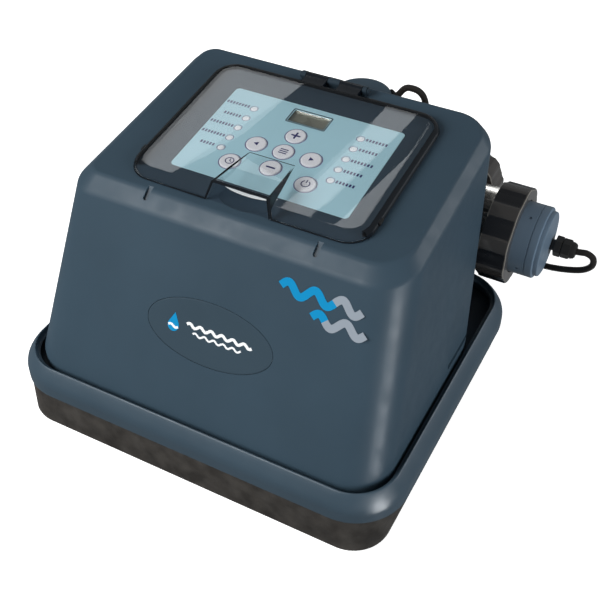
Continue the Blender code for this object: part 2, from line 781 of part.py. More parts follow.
def end_nut(name, side, x_in, x_out):
    """Ribbed union nut that holds an end piece on the cell."""
    lip = x_out - side * 4.8
    loops = [
        lobe_loop(NUT_R - 1.4, 1.0, 12, x_in),
        lobe_loop(NUT_R, 2.0, 12, x_in + side * 1.4),
        lobe_loop(NUT_R, 2.0, 12, x_out - side * 1.6),
        lobe_loop(NUT_R - 1.6, 1.2, 12, x_out),
        lobe_loop(CAP_R + 0.8, 0.0, 12, x_out),
        lobe_loop(CAP_R + 0.8, 0.0, 12, lip),
        lobe_loop(CELL_NECK_R + 0.5, 0.0, 12, lip),
        lobe_loop(CELL_NECK_R + 0.5, 0.0, 12, x_in),
    ]
    return loft(name, loops, NUT_BLACK, CELL, ring=True)


end_nut("union_nut", 1.0, NUT_X0, NUT_X1)
end_nut("end_nut", -1.0, -NUT_X0, -NUT_X1)

solid_of_turn(
    "cell_cap",
    [
        (CELL_BORE_R - 0.4, 158.0),
        (CELL_BORE_R - 0.4, 163.0),
        (CELL_BORE_R - 2.4, 163.0),
        (CELL_BORE_R - 2.4, 166.0),
        (CELL_BORE_R - 0.4, 166.0),
        (CELL_BORE_R - 0.4, CELL_X1 + 0.3),
        (40.6, CELL_X1 + 0.3),
        (40.6, NUT_X1 - 5.2),
        (CAP_R, NUT_X1 - 5.2),
        (CAP_R, CAP_X1 - 0.6),
        (CAP_STEP_R + 0.2, CAP_X1),
        (CAP_STEP_R, CAP_STEP_X - 1.4),
        (CAP_STEP_R - 1.4, CAP_STEP_X),
    ],
    SLATE,
    CELL,
    24,
)
ring_of_turn(
    "cap_seal",
    [
        (CELL_BORE_R - 2.3, 163.2),
        (CELL_BORE_R - 2.3, 165.8),
        (CELL_BORE_R - 0.3, 165.8),
        (CELL_BORE_R - 0.3, 163.2),
    ],
    SEAL,
    CELL,
    24,
)
solid_of_turn(
    "flow_sensor_plug",
    [
        (30.0, -189.5),
        (CAP_R, -187.5),
        (CAP_R, 5.2 - NUT_X1),
        (40.6, 5.2 - NUT_X1),
        (40.6, CELL_X0 - 0.3),
        (CELL_BORE_R - 0.4, CELL_X0 - 0.3),
        (CELL_BORE_R - 0.4, CELL_X0 + 12.0),
        (6.0, CELL_X0 + 12.0),
        (6.0, CELL_X0 + 34.0),
        (4.0, CELL_X0 + 36.0),
    ],
    SLATE,
    CELL,
    18,
)

plate_loop = []
for k in range(5):
    y = -14.0 + 7.0 * k
    plate_loop.append((y - 0.7, 20.0))
    plate_loop.append((y + 0.7, 20.0))
    if k < 4:
        plate_loop.append((y + 0.7, 1.5))
        plate_loop.append((y + 6.3, 1.5))
lower = [(y, -z) for y, z in plate_loop[::-1]]
comb = plate_loop + lower
loft(
    "electrode_plates",
    [[(y, z, -5.0) for y, z in comb], [(y, z, 157.6) for y, z in comb]],
    TITANIUM,
    CELL,
)

for x, port_name in zip(PORT_XS, ("right", "left")):
    frame = port_frame(x)
    y0 = PORT_NUT_Y0 - CELL_Y
    y1 = PORT_NUT_Y1 - CELL_Y
    tail_end = PORT_TAIL_END - CELL_Y
    inner = PORT_SPIGOT_R + 4.4
    loops = [
        lobe_loop(PORT_NUT_R - 1.2, 0.8, 8, y0),
        lobe_loop(PORT_NUT_R, 1.8, 8, y0 + 1.2),
        lobe_loop(PORT_NUT_R, 1.8, 8, y1 - 1.2),
        lobe_loop(PORT_NUT_R - 1.2, 0.8, 8, y1),
        lobe_loop(19.8, 0.0, 8, y1),
        lobe_loop(19.8, 0.0, 8, y1 - 5.0),
        lobe_loop(inner, 0.0, 8, y1 - 5.0),
        lobe_loop(inner, 0.0, 8, y0 + 2.4),
        lobe_loop(PORT_SPIGOT_R + 0.6, 0.0, 8, y0 + 1.0),
        lobe_loop(PORT_SPIGOT_R + 0.6, 0.0, 8, y0),
    ]
    loft("port_nut_" + port_name, loops, NUT_BLACK, frame, ring=True)
    ring_of_turn(
        "port_seal_" + port_name,
        [(17.6, y0 + 14.2), (17.6, y0 + 16.0), (22.0, y0 + 16.0), (22.0, y0 + 14.2)],
        SEAL,
        frame,
        18,
    )
    ring_of_turn(
        "port_tail_" + port_name,
        [
            (PORT_BORE_R, y0 + 16.2),
            (25.8, y0 + 16.2),
            (25.8, y1 - 5.3),
            (18.6, y1 - 5.3),
            (18.6, y1 + 2.0),
            (19.4, y1 + 6.0),
            (18.0, y1 + 7.0),
            (18.0, tail_end - 4.0),
            (17.2, tail_end),
            (PORT_BORE_R, tail_end),
        ],
        GLAND_BLACK,
        frame,
        18,
    )

SADDLE_HALF = 9.0
for x, place_name in ((74.0, "right"), (-74.0, "left")):
    profile = [(106.0, DECK_TOP_Z + 0.2), (147.0, DECK_TOP_Z + 0.2), (147.0, 67.5), (166.0, 78.0)]
    rim_r = CELL_R + 0.3
    for k in range(13):
        a = math.radians(-62.0 - 88.0 * k / 12)
        profile.append((CELL_Y + rim_r * math.cos(a), CELL_Z + rim_r * math.sin(a)))
    profile.append((114.0, 100.0))
    loops = []
    for dx in (-SADDLE_HALF, SADDLE_HALF):
        loops.append([(x + dx, y, z) for y, z in profile])
    loft("cell_saddle_" + place_name, loops, DECK_BLACK)


# ---- cell lead and its gland ----
GLAND = Matrix.Translation((0.0, GLAND_Y, GLAND_Z)) @ ALONG_X
gland = solid_of_turn(
    "gland_body",
    [(5.4, CAP_STEP_X + 0.1), (5.4, 216.6)],
    GLAND_BLACK,
    GLAND,
    14,
)
hexes = [loft("hex", [circle_loop(10.2, 216.0, 6), circle_loop(10.2, 222.6, 6)], GLAND_BLACK, GLAND)]
hexes.append(solid_of_turn("stub", [(6.2, 222.0), (6.2, 229.0)], GLAND_BLACK, GLAND, 14))
combine(gland, hexes, "UNION")
bore = solid_of_turn("bore", [(LEAD_R + 0.3, 214.4), (LEAD_R + 0.3, 240.0)], GLAND_BLACK, GLAND, 14)
combine(gland, [bore], "DIFFERENCE")
ring_of_turn(
    "gland_nut",
    [
        (6.5, 222.9),
        (9.2, 222.9),
        (9.6, 223.6),
        (9.6, 231.4),
        (8.6, 232.6),
        (7.6, 235.4),
        (6.0, X_MAX),
        (LEAD_R + 0.35, X_MAX),
        (LEAD_R + 0.35, 230.0),
        (6.5, 229.6),
    ],
    GLAND_BLACK,
    GLAND,
    14,
)

LEAD_POINTS = [
    (214.9, GLAND_Y, GLAND_Z),
    (226.0, GLAND_Y, GLAND_Z),
    (237.5, GLAND_Y, GLAND_Z),
    (246.0, 167.2, 115.6),
    (252.6, 167.8, 111.5),
    (253.2, 168.6, 102.5),
    (246.0, 169.6, 94.0),
    (232.0, 171.0, 87.5),
    (214.0, 173.5, 82.0),
    (195.0, 178.0, 78.0),
    (172.0, 184.5, 76.0),
    (146.0, 191.0, 78.0),
    (118.0, 196.3, 82.0),
    (92.0, 197.3, 88.0),
    (74.0, 197.2, 100.0),
    (67.5, 197.0, 118.0),
    (67.0, 195.5, 142.0),
    (68.5, 191.0, 168.0),
    (70.5, 184.5, 194.0),
    (71.0, 177.5, 214.0),
    (69.8, 174.0, 226.5),
    (67.0, 172.9, 232.4),
    (62.5, 172.4, 235.6),
    (57.0, 172.1, 236.5),
    (52.0, 171.8, 235.9),
    (48.5, 171.1, 233.2),
    (46.1, 169.7, 229.7),
]


for reach in (33.6, 31.6, 27.5, 20.0, 12.0):
    LEAD_POINTS.append(
        (
            HOOD_X + reach * math.cos(OUTLET_ANGLE),
            HOOD_Y + reach * math.sin(OUTLET_ANGLE),
            OUTLET_Z,
        )
    )


def smooth_path(points, parts):
    """Catmull-Rom curve through the points."""
    vecs = [Vector(p) for p in points]
    ext = [vecs[0] * 2.0 - vecs[1]] + vecs + [vecs[-1] * 2.0 - vecs[-2]]
    path = []
    for i in range(1, len(ext) - 2):
        p0, p1, p2, p3 = ext[i - 1], ext[i], ext[i + 1], ext[i + 2]
        for k in range(parts):
            t = k / parts
            a = p1 * 2.0
            b = (p2 - p0) * t
            c = (p0 * 2.0 - p1 * 5.0 + p2 * 4.0 - p3) * (t * t)
            d = (p1 * 3.0 - p0 - p2 * 3.0 + p3) * (t * t * t)
            path.append((a + b + c + d) * 0.5)
    path.append(vecs[-1])
    return path


def add_curve(name, path, radius, mat):
    """Round cord as a bevelled curve with filled ends."""
    curve = bpy.data.curves.new(name, "CURVE")
    curve.dimensions = "3D"
    line = curve.splines.new("POLY")
    line.points.add(len(path) - 1)
    for spot, point in zip(line.points, path):
        place = (point + SHIFT) * MM
        spot.co = (place.x, place.y, place.z, 1.0)
    curve.bevel_depth = radius * MM
    curve.bevel_resolution = 2
    curve.use_fill_caps = True
    curve.materials.append(mat)
    obj = bpy.data.objects.new(name, curve)
    bpy.context.collection.objects.link(obj)
    return obj


add_curve("cell_lead", smooth_path(LEAD_POINTS, 2), LEAD_R, LEAD_BLACK)


# ---- power parts inside ----
core = box("transformer", (-40.0, -30.0, FOOT_Z + 5.4), (40.0, 30.0, 35.0), COPPER)
coil = loft(
    "coil",
    [rect_loop(-24.0, 24.0, -40.0, 40.0, 6.0, 8.0, 3), rect_loop(-24.0, 24.0, -40.0, 40.0, 6.0, 30.0, 3)],
    COPPER,
)
combine(core, [coil], "UNION")

power = box("power_board", (-90.0, -100.0, 58.0), (70.0, -20.0, 59.8), BOARD_GREEN)
bits = []
for x in (-84.0, 64.0):
    for y in (-94.0, -26.0):
        spot = Matrix.Translation((x, y, 0.0))
        bits.append(solid_of_turn("bit", [(3.5, DECK_TOP_Z + 0.2), (3.5, 58.6)], BOARD_GREEN, spot, 8))
for x, y, r, h in ((-60.0, -60.0, 11.0, 34.0), (-30.0, -60.0, 11.0, 34.0), (40.0, -50.0, 7.0, 22.0)):
    spot = Matrix.Translation((x, y, 0.0))
    bits.append(solid_of_turn("bit", [(r, 59.0), (r, 60.0 + h)], BOARD_GREEN, spot, 12))
bits.append(box("bit", (0.0, -90.0, 59.0), (26.0, -66.0, 78.0), BOARD_GREEN))
combine(power, bits, "UNION")

fins = 7
profile = [(80.0, 50.2), (80.0 + 7.0 * (fins - 1) + 2.0, 50.2)]
for k in range(fins - 1, -1, -1):
    x = 80.0 + 7.0 * k
    profile.append((x + 2.0, 88.0))
    profile.append((x, 88.0))
    if k > 0:
        profile.append((x, 55.0))
        profile.append((x - 5.0, 55.0))
loft(
    "heat_sink",
    [[(x, -95.0, z) for x, z in profile], [(x, -30.0, z) for x, z in profile]],
    ALU,
)

block = box("terminal_block", (-50.0, 20.0, DECK_TOP_Z + 0.2), (10.0, 36.0, 66.0), TERMINAL)
holes = []
for k in range(5):
    x = -44.0 + 12.0 * k
    holes.append(box("tool", (x - 3.0, 18.0, 54.0), (x + 3.0, 28.0, 60.0), TERMINAL))
combine(block, holes, "DIFFERENCE")
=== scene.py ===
"""Looks of a pool salt chlorine generator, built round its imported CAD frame.

Lengths are in millimetres in the unit's own frame: X to the right, Y to the rear, Z up, with its origin under
the middle of the base. place() takes such a point to the row frame in metres.
"""
import json
import math

import bmesh
import bpy
from mathutils import Matrix, Vector

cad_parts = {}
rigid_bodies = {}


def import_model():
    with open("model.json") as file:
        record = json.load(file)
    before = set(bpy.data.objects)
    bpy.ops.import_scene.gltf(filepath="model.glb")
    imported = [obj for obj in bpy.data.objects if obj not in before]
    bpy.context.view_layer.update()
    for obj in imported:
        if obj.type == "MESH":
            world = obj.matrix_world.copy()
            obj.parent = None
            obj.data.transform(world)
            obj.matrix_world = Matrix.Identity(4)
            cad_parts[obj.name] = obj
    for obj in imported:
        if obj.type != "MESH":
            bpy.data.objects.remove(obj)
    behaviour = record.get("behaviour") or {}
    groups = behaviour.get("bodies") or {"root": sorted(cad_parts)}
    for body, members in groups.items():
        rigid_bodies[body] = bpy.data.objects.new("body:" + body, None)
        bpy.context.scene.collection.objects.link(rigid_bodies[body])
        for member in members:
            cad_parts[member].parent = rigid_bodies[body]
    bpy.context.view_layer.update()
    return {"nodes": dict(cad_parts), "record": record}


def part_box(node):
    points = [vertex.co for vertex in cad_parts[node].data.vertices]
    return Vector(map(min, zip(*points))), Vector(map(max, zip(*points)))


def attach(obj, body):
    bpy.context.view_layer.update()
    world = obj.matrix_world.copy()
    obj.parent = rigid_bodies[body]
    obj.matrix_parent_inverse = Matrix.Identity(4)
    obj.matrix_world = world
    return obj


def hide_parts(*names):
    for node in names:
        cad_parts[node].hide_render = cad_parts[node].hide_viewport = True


for old in list(bpy.data.objects):
    bpy.data.objects.remove(old, do_unlink=True)

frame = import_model()
NODE_BODY = {node: body for body, nodes in frame["record"]["behaviour"]["bodies"].items() for node in nodes}

MM = 0.001
FLANGE_LOW_Z = 37.0
ring_low, ring_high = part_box("flange_ring")
ORIGIN = Vector(
    ((ring_low.x + ring_high.x) / 2, (ring_low.y + ring_high.y) / 2, ring_low.z - FLANGE_LOW_Z * MM)
)

# ---- driving dimensions, as the CAD has them ----
BASE_HALF_X = 190.0
BASE_HALF_Y = 160.0
BASE_CORNER_R = 49.0
TRAY_LOW_Z = -1.5
TRAY_SIDE_INSET = 8.0
TRAY_FRONT_INSET = 0.4
TRAY_CORNER_R = 34.5
TRAY_TOP_Z = 36.7
DECK_TOP_Z = 49.8

HOUSING_HALF_X = 174.7
HOUSING_FRONT_Y = -143.2
HOUSING_REAR_Y = 86.5
HOUSING_FOOT_Z = 63.0
HOUSING_FOOT_R = 39.1
HOUSING_TOP_R = 38.2
HOUSING_TOP_R_LEFT = 22.0
HOUSING_WALL = 3.0
TOP_Z_AT_ZERO = 227.0
TILT = math.radians(7.11)
FRONT_RAKE = math.radians(26.8)
REAR_LEAN = math.radians(19.55)
TOP_SLOPE = math.tan(TILT)
FRONT_SLOPE = math.tan(FRONT_RAKE)
REAR_SLOPE = math.tan(REAR_LEAN)
SIDE_SLOPE = math.tan(math.radians(6.86))
TOP_BEVEL = 9.5

PANEL_Y = 37.3
PANEL = (
    Matrix.Translation((0.0, PANEL_Y, TOP_Z_AT_ZERO + PANEL_Y * TOP_SLOPE)) @ Matrix.Rotation(TILT, 4, "X")
)
FACE_Z = 134.0
FACE_Y = HOUSING_FRONT_Y + (FACE_Z - HOUSING_FOOT_Z) * FRONT_SLOPE
FACE = Matrix.Translation((0.0, FACE_Y, FACE_Z)) @ Matrix.Rotation(math.pi / 2 - FRONT_RAKE, 4, "X")
ALONG_X = Matrix(((0, 0, 1, 0), (1, 0, 0, 0), (0, 1, 0, 0), (0, 0, 0, 1)))
ALONG_Y = Matrix(((0, 1, 0, 0), (0, 0, 1, 0), (1, 0, 0, 0), (0, 0, 0, 1)))

NOTCH_MID_U = -2.5
NOTCH_SPAN = 79.2
NOTCH_V = -94.0
NOTCH_DEPTH = 2.9
NOTCH_LEAN = math.radians(32.0)
SCOOP_V = -72.5
SCOOP_R = 24.6
SCOOP_DEPTH = 2.7
RECESS_LOW_Z = 68.5
RECESS_HIGH_Z = 117.0
RECESS_FRONT_Y = 10.5
RECESS_REAR_Y = 120.0
RECESS_DEPTH = 1.8
INLET_X = -95.0
INLET_Z = 200.0
INLET_R = 10.6

LABEL_U = 168.1
LABEL_V = 116.3
LABEL_TOP_W = -0.05
PANEL_MID_U = -1.7
KEY_R = 9.0
KEY_TOP_W = 0.9
LED_R = 3.1
LED_SPAN = 52.75
LED_VS = [36.4 - 14.55 * i for i in range(5)]
LCD_U = 36.0
LCD_V = 16.6
LCD_MID_V = 42.2
KEYS = {
    "key_plus": (0.0, 16.9),
    "key_left": (-26.6, -5.8),
    "key_menu": (0.0, -5.8),
    "key_right": (26.6, -5.8),
    "key_minus": (0.0, -28.6),
    "key_timer": (-36.3, -34.9),
    "key_power": (36.3, -34.9),
}

LID_HALF_U = 112.2
LID_HALF_V = 85.5
LID_MID_U = -1.6
LID_MID_V = 1.1
LID_R = 23.0
LID_TOP_W = 7.94
LID_WALL = 2.0
LID_LOW_W = 0.3
TAB_MID_U = -1.3
TAB_REAR_V = -25.0
HINGE_V = 94.0
HINGE_W = 5.0
PIN_R = 2.0
PIVOT = PANEL @ Matrix.Translation((0.0, HINGE_V, HINGE_W)) @ ALONG_X

CELL_Y = 152.0
CELL_Z = 124.5
CELL_R = 38.7
CELL_BORE_R = 33.8
CELL_NECK_R = 41.6
CELL_END_X = 172.0
NUT_X0 = 157.8
NUT_X1 = 185.5
NUT_R = 47.0
CAP_R = 34.5
NUT_LOBES = 9
CAP_X1 = 207.5
CAP_STEP_R = 31.5
CAP_STEP_X = 212.2
PORT_XS = {"right": 110.5, "left": -110.5}
PORT_NUT_Y0 = 202.0
PORT_NUT_Y1 = 230.0
PORT_NUT_R = 31.5
PORT_NUT_LOBES = 8
PORT_TAIL_END = 246.0
PORT_SPIGOT_R = 22.0
PORT_BORE_R = 15.0
CELL = Matrix.Translation((0.0, CELL_Y, CELL_Z)) @ ALONG_X
GLAND_Y = 167.0
GLAND_Z = 114.5
GLAND = Matrix.Translation((0.0, GLAND_Y, GLAND_Z)) @ ALONG_X
GLAND_END_X = 236.5
LEAD_R = 3.1

HOOD_X = 18.5
HOOD_Y = 146.5
HOOD_R = 27.0
HOOD_TOP_Z = 236.5
HOOD_LOW_Z = 204.0
OUTLET_Z = 228.0
OUTLET_ANGLE = math.radians(40.0)
OUTLET = (
    Matrix.Translation((HOOD_X, HOOD_Y, OUTLET_Z)) @ Matrix.Rotation(OUTLET_ANGLE, 4, "Z") @ ALONG_X
)


def place(point):
    """A point of the unit's frame, in the row frame."""
    return ORIGIN + Vector(point) * MM


def panel_spot(u, v):
    """Place on the control panel."""
    return PANEL @ Matrix.Translation((u, v, 0.0))


def put(name, data):
    """A new object in the scene."""
    obj = bpy.data.objects.new(name, data)
    bpy.context.scene.collection.objects.link(obj)
    return obj


# ---- camera ----
CAMERA_AT = (338.86, -582.47, 694.84)
CAMERA_AIM = (26.69, 8.0, 91.62)
CAMERA_LENS = 58.51
SENSOR_WIDTH = 36.0


def make_camera():
    """The photograph's viewpoint: high, to the right of the front."""
    lens = bpy.data.cameras.new("camera")
    lens.sensor_width = SENSOR_WIDTH
    lens.lens = CAMERA_LENS
    lens.clip_start = 0.01
    camera = put("camera", lens)
    camera.location = place(CAMERA_AT)
    aim = place(CAMERA_AIM) - place(CAMERA_AT)
    camera.rotation_euler = aim.to_track_quat("-Z", "Y").to_euler()
    bpy.context.scene.camera = camera


make_camera()


# ---- materials ----
def fill(mat, node, inputs):
    """Fill a node's inputs: another node's output is joined to its input, and anything else is a value."""
    for key, value in inputs.items():
        if isinstance(value, bpy.types.NodeSocket):
            mat.node_tree.links.new(value, node.inputs[key])
        else:
            node.inputs[key].default_value = value


def new_material(name, colour, rough, metal=0.0):
    """A Principled material, and its shader."""
    mat = bpy.data.materials.new(name)
    mat.use_nodes = True
    shader = mat.node_tree.nodes["Principled BSDF"]
    fill(mat, shader, {"Base Color": (*colour, 1.0), "Roughness": rough, "Metallic": metal})
    return mat, shader


def add_node(mat, kind, inputs=None, **settings):
    """Add one shader node, with its properties and its inputs."""
    node = mat.node_tree.nodes.new(kind)
    for key, value in settings.items():
        setattr(node, key, value)
    fill(mat, node, inputs or {})
    return node


def noise(mat, scale, detail=2.0, stretch=(1.0, 1.0, 1.0)):
    """Noise in the row frame; scale is in cells per metre."""
    coords = add_node(mat, "ShaderNodeTexCoord").outputs["Object"]
    shift = add_node(mat, "ShaderNodeMapping", {"Vector": coords, "Scale": stretch}).outputs["Vector"]
    inputs = {"Vector": shift, "Scale": scale, "Detail": detail}
    return add_node(mat, "ShaderNodeTexNoise", inputs).outputs["Fac"]


def spread(mat, value, low, high, start=0.3, end=0.7):
    """Map a value from start to end, by default a noise's middle range, onto low to high."""
    inputs = {"Value": value, "From Min": start, "From Max": end, "To Min": low, "To Max": high}
    return add_node(mat, "ShaderNodeMapRange", inputs).outputs["Result"]


def along(mat, axis, low, high):
    """How far a point is from low to high on one axis of the row frame, from 0 to 1."""
    coords = add_node(mat, "ShaderNodeTexCoord").outputs["Object"]
    split = add_node(mat, "ShaderNodeSeparateXYZ", {"Vector": coords})
    return spread(mat, split.outputs[axis], 0.0, 1.0, low, high)


def ramp(mat, value, stops, interpolation="LINEAR"):
    """Colour ramp over a value, from (position, colour) stops in rising order."""
    node = add_node(mat, "ShaderNodeValToRGB", {"Fac": value})
    node.color_ramp.interpolation = interpolation
    elements = node.color_ramp.elements
    elements[0].position = stops[0][0]
    elements[1].position = stops[-1][0]
    for position, _ in stops[1:-1]:
        elements.new(position)
    for element, (_, colour) in zip(elements, stops):
        element.color = (*colour, 1.0)
    return node.outputs["Color"]


def tint(mat, value, dark, light, start=0.3, end=0.7):
    """Colour from dark to light over a value's middle range."""
    return ramp(mat, value, ((start, dark), (end, light)))


def bump(mat, shader, value, strength, depth):
    """Raise the surface by a value; depth is in metres."""
    relief = add_node(mat, "ShaderNodeBump", {"Height": value, "Strength": strength, "Distance": depth})
    fill(mat, shader, {"Normal": relief.outputs["Normal"]})


def mix_surface(mat, factor, first, second):
    """Make the surface a mix of two shader nodes."""
    inputs = {"Fac": factor, 1: first.outputs["BSDF"], 2: second.outputs["BSDF"]}
    mix = add_node(mat, "ShaderNodeMixShader", inputs)
    fill(mat, mat.node_tree.nodes["Material Output"], {"Surface": mix.outputs["Shader"]})


def moulded(name, colour, rough, drift=0.05, strength=0.05, grain=1800.0, depth=0.00005, specular=0.5):
    """Moulded plastic, rubber or print: slow colour drift, uneven gloss and a fine spark-eroded grain."""
    mat, shader = new_material(name, colour, rough)
    dark = [c * (1.0 - drift) for c in colour]
    light = [c * (1.0 + drift) for c in colour]
    shade = tint(mat, noise(mat, 14.0, 3.0), dark, light)
    gloss = spread(mat, noise(mat, 60.0), rough - 0.05, rough + 0.05)
    fill(mat, shader, {"Base Color": shade, "Roughness": gloss, "Specular IOR Level": specular})
    bump(mat, shader, noise(mat, grain, 3.0), strength, depth)
    return mat


def clear_plastic(name, colour, rough, shade):
    """Clear acrylic with faint flow marks, which lets lamps through so that it casts no full shadow."""
    mat, shader = new_material(name, colour, rough)
    gloss = spread(mat, noise(mat, 40.0), rough * 0.6, rough * 1.4)
    fill(mat, shader, {"Transmission Weight": 1.0, "IOR": 1.49, "Roughness": gloss})
    bump(mat, shader, noise(mat, 18.0), 0.04, 0.0002)
    shadow = add_node(mat, "ShaderNodeLightPath").outputs["Is Shadow Ray"]
    mix_surface(mat, shadow, shader, add_node(mat, "ShaderNodeBsdfTransparent", {"Color": (*shade, 1.0)}))
    return mat


def rounded_mask(mat, half_u, half_v, radius, blur):
    """1 inside a rounded rectangle round the lid's middle on the panel, 0 outside; lengths in millimetres."""

    def arithmetic(operation, value, other=(0.0, 0.0, 0.0)):
        """Outputs of one step of vector arithmetic."""
        return add_node(mat, "ShaderNodeVectorMath", {0: value, 1: other}, operation=operation).outputs

    coords = add_node(mat, "ShaderNodeTexCoord").outputs["Object"]
    middle = place(panel_spot(LID_MID_U, LID_MID_V).to_translation())
    inputs = {"Vector": coords, "Location": middle, "Rotation": (TILT, 0.0, 0.0)}
    local = add_node(mat, "ShaderNodeMapping", inputs, vector_type="TEXTURE").outputs["Vector"]
    size = arithmetic("ABSOLUTE", local)["Vector"]
    straight = ((half_u - radius) * MM, (half_v - radius) * MM, 1.0)
    beyond = arithmetic("SUBTRACT", size, straight)["Vector"]
    reach = arithmetic("LENGTH", arithmetic("MAXIMUM", beyond)["Vector"])["Value"]
    return spread(mat, reach, 1.0, 0.0, (radius - blur) * MM, radius * MM)


def housing_material():
    """The slate plastic, with painted shade: near-black slate where the lid covers the top."""
    mat = moulded("housing_slate", SLATE_COLOUR, 0.42, strength=0.04, specular=0.22)
    shader = mat.node_tree.nodes["Principled BSDF"]
    slate = shader.inputs["Base Color"].links[0].from_socket
    edge = 0.8
    # Painted shade: the top under the lid is made near-black, for the dark seen through the lid.
    under_lid_shade = rounded_mask(mat, LID_HALF_U - edge, LID_HALF_V - edge, LID_R - edge, 0.6)
    inputs = {"Factor": under_lid_shade, "A": slate, "B": (0.025, 0.042, 0.062, 1.0)}
    blend = add_node(mat, "ShaderNodeMix", inputs, data_type="RGBA")
    fill(mat, shader, {"Base Color": blend.outputs["Result"]})
    return mat


def lid_material():
    """Clear acrylic with painted shade where it turns away, for the dark its rolled edges show, and a gloss
    that follows Schlick's rule: 4 per cent seen square on, and all of it edge on."""
    mat = bpy.data.materials.new("lid_acrylic")
    mat.use_nodes = True
    mat.node_tree.nodes.remove(mat.node_tree.nodes["Principled BSDF"])
    turn = add_node(mat, "ShaderNodeLayerWeight", {"Blend": 0.5}).outputs["Facing"]
    # Painted shade: the see-through colour turns dark towards grazing view.
    grazing_shade = tint(mat, turn, (0.95, 0.965, 0.97), (0.3, 0.34, 0.38), 0.72, 0.97)
    through = add_node(mat, "ShaderNodeBsdfTransparent", {"Color": grazing_shade})
    gloss = add_node(mat, "ShaderNodeBsdfGlossy", {"Roughness": spread(mat, noise(mat, 30.0), 0.008, 0.02)})
    bump(mat, gloss, noise(mat, 16.0), 0.03, 0.0002)
    rise = add_node(mat, "ShaderNodeMath", {0: turn, 1: 5.0}, operation="POWER").outputs["Value"]
    mix_surface(mat, spread(mat, rise, 0.04, 1.0, 0.0, 1.0), through, gloss)
    return mat


def tray_material():
    """Charcoal base, stone-like: mottled brown-grey with dark pores."""
    mat, shader = new_material("charcoal_plastic", (0.045, 0.041, 0.037), 0.62)
    clouds = tint(mat, noise(mat, 55.0, 5.0), (0.027, 0.024, 0.0215), (0.056, 0.051, 0.046), 0.34, 0.68)
    fill(mat, shader, {"Base Color": clouds, "Roughness": spread(mat, noise(mat, 90.0), 0.5, 0.75)})
    bump(mat, shader, noise(mat, 420.0, 6.0), 0.55, 0.0004)
    return mat


def nut_material(name, axis, ends):
    """Near-black smoked plastic, with a painted highlight at its two thin rims.
    Ends are the nut's places along the axis.
    """
    mat, shader = new_material(name, (0.016, 0.013, 0.012), 0.14)
    # Painted highlight: a paler band near each end, where the rims catch the light.
    rim = (0.3, 0.28, 0.25)
    mass = (0.056, 0.051, 0.048)
    stops = ((0.004, mass), (0.018, rim), (0.05, mass), (0.95, mass), (0.982, rim), (0.996, mass))
    shade = ramp(mat, along(mat, axis, min(ends), max(ends)), stops)
    fill(mat, shader, {"Base Color": shade, "Roughness": spread(mat, noise(mat, 70.0), 0.1, 0.22)})
    fill(mat, shader, {"Coat Weight": 0.4, "Coat Roughness": 0.08})
    bump(mat, shader, noise(mat, 900.0), 0.06, 0.00005)
    return mat


def board_material():
    """Green solder mask with copper tracks just visible under it."""
    mat, shader = new_material("circuit_board", (0.02, 0.11, 0.05), 0.45)
    tracks = noise(mat, 160.0, 0.0, (1.0, 0.08, 1.0))
    mask = tint(mat, tracks, (0.012, 0.085, 0.035), (0.03, 0.16, 0.06), 0.47, 0.5)
    fill(mat, shader, {"Base Color": mask})
    bump(mat, shader, tracks, 0.3, 0.0001)
    return mat


def brushed_metal(name, colour, rough):
    """Metal with fine lines along X."""
    mat, shader = new_material(name, colour, rough, 1.0)
    lines = noise(mat, 900.0, 3.0, (0.03, 1.0, 1.0))
    shade = tint(mat, lines, [c * 0.85 for c in colour], colour)
    fill(mat, shader, {"Base Color": shade, "Roughness": spread(mat, lines, rough - 0.08, rough + 0.1)})
    bump(mat, shader, lines, 0.12, 0.00004)
    return mat


def transformer_material():
    """Dark laminated iron in the middle, copper windings where the coil stands out at both ends."""
    mat, shader = new_material("transformer_iron", (0.1, 0.09, 0.085), 0.5, 0.5)
    low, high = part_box("transformer")
    iron = (0.07, 0.065, 0.062)
    copper = (0.42, 0.16, 0.07)
    stops = ((0.0, copper), (0.12, iron), (0.88, copper))
    fill(mat, shader, {"Base Color": ramp(mat, along(mat, "Y", low.y, high.y), stops, "CONSTANT")})
    bump(mat, shader, noise(mat, 700.0, 1.0, (0.02, 0.02, 1.0)), 0.6, 0.0003)
    return mat


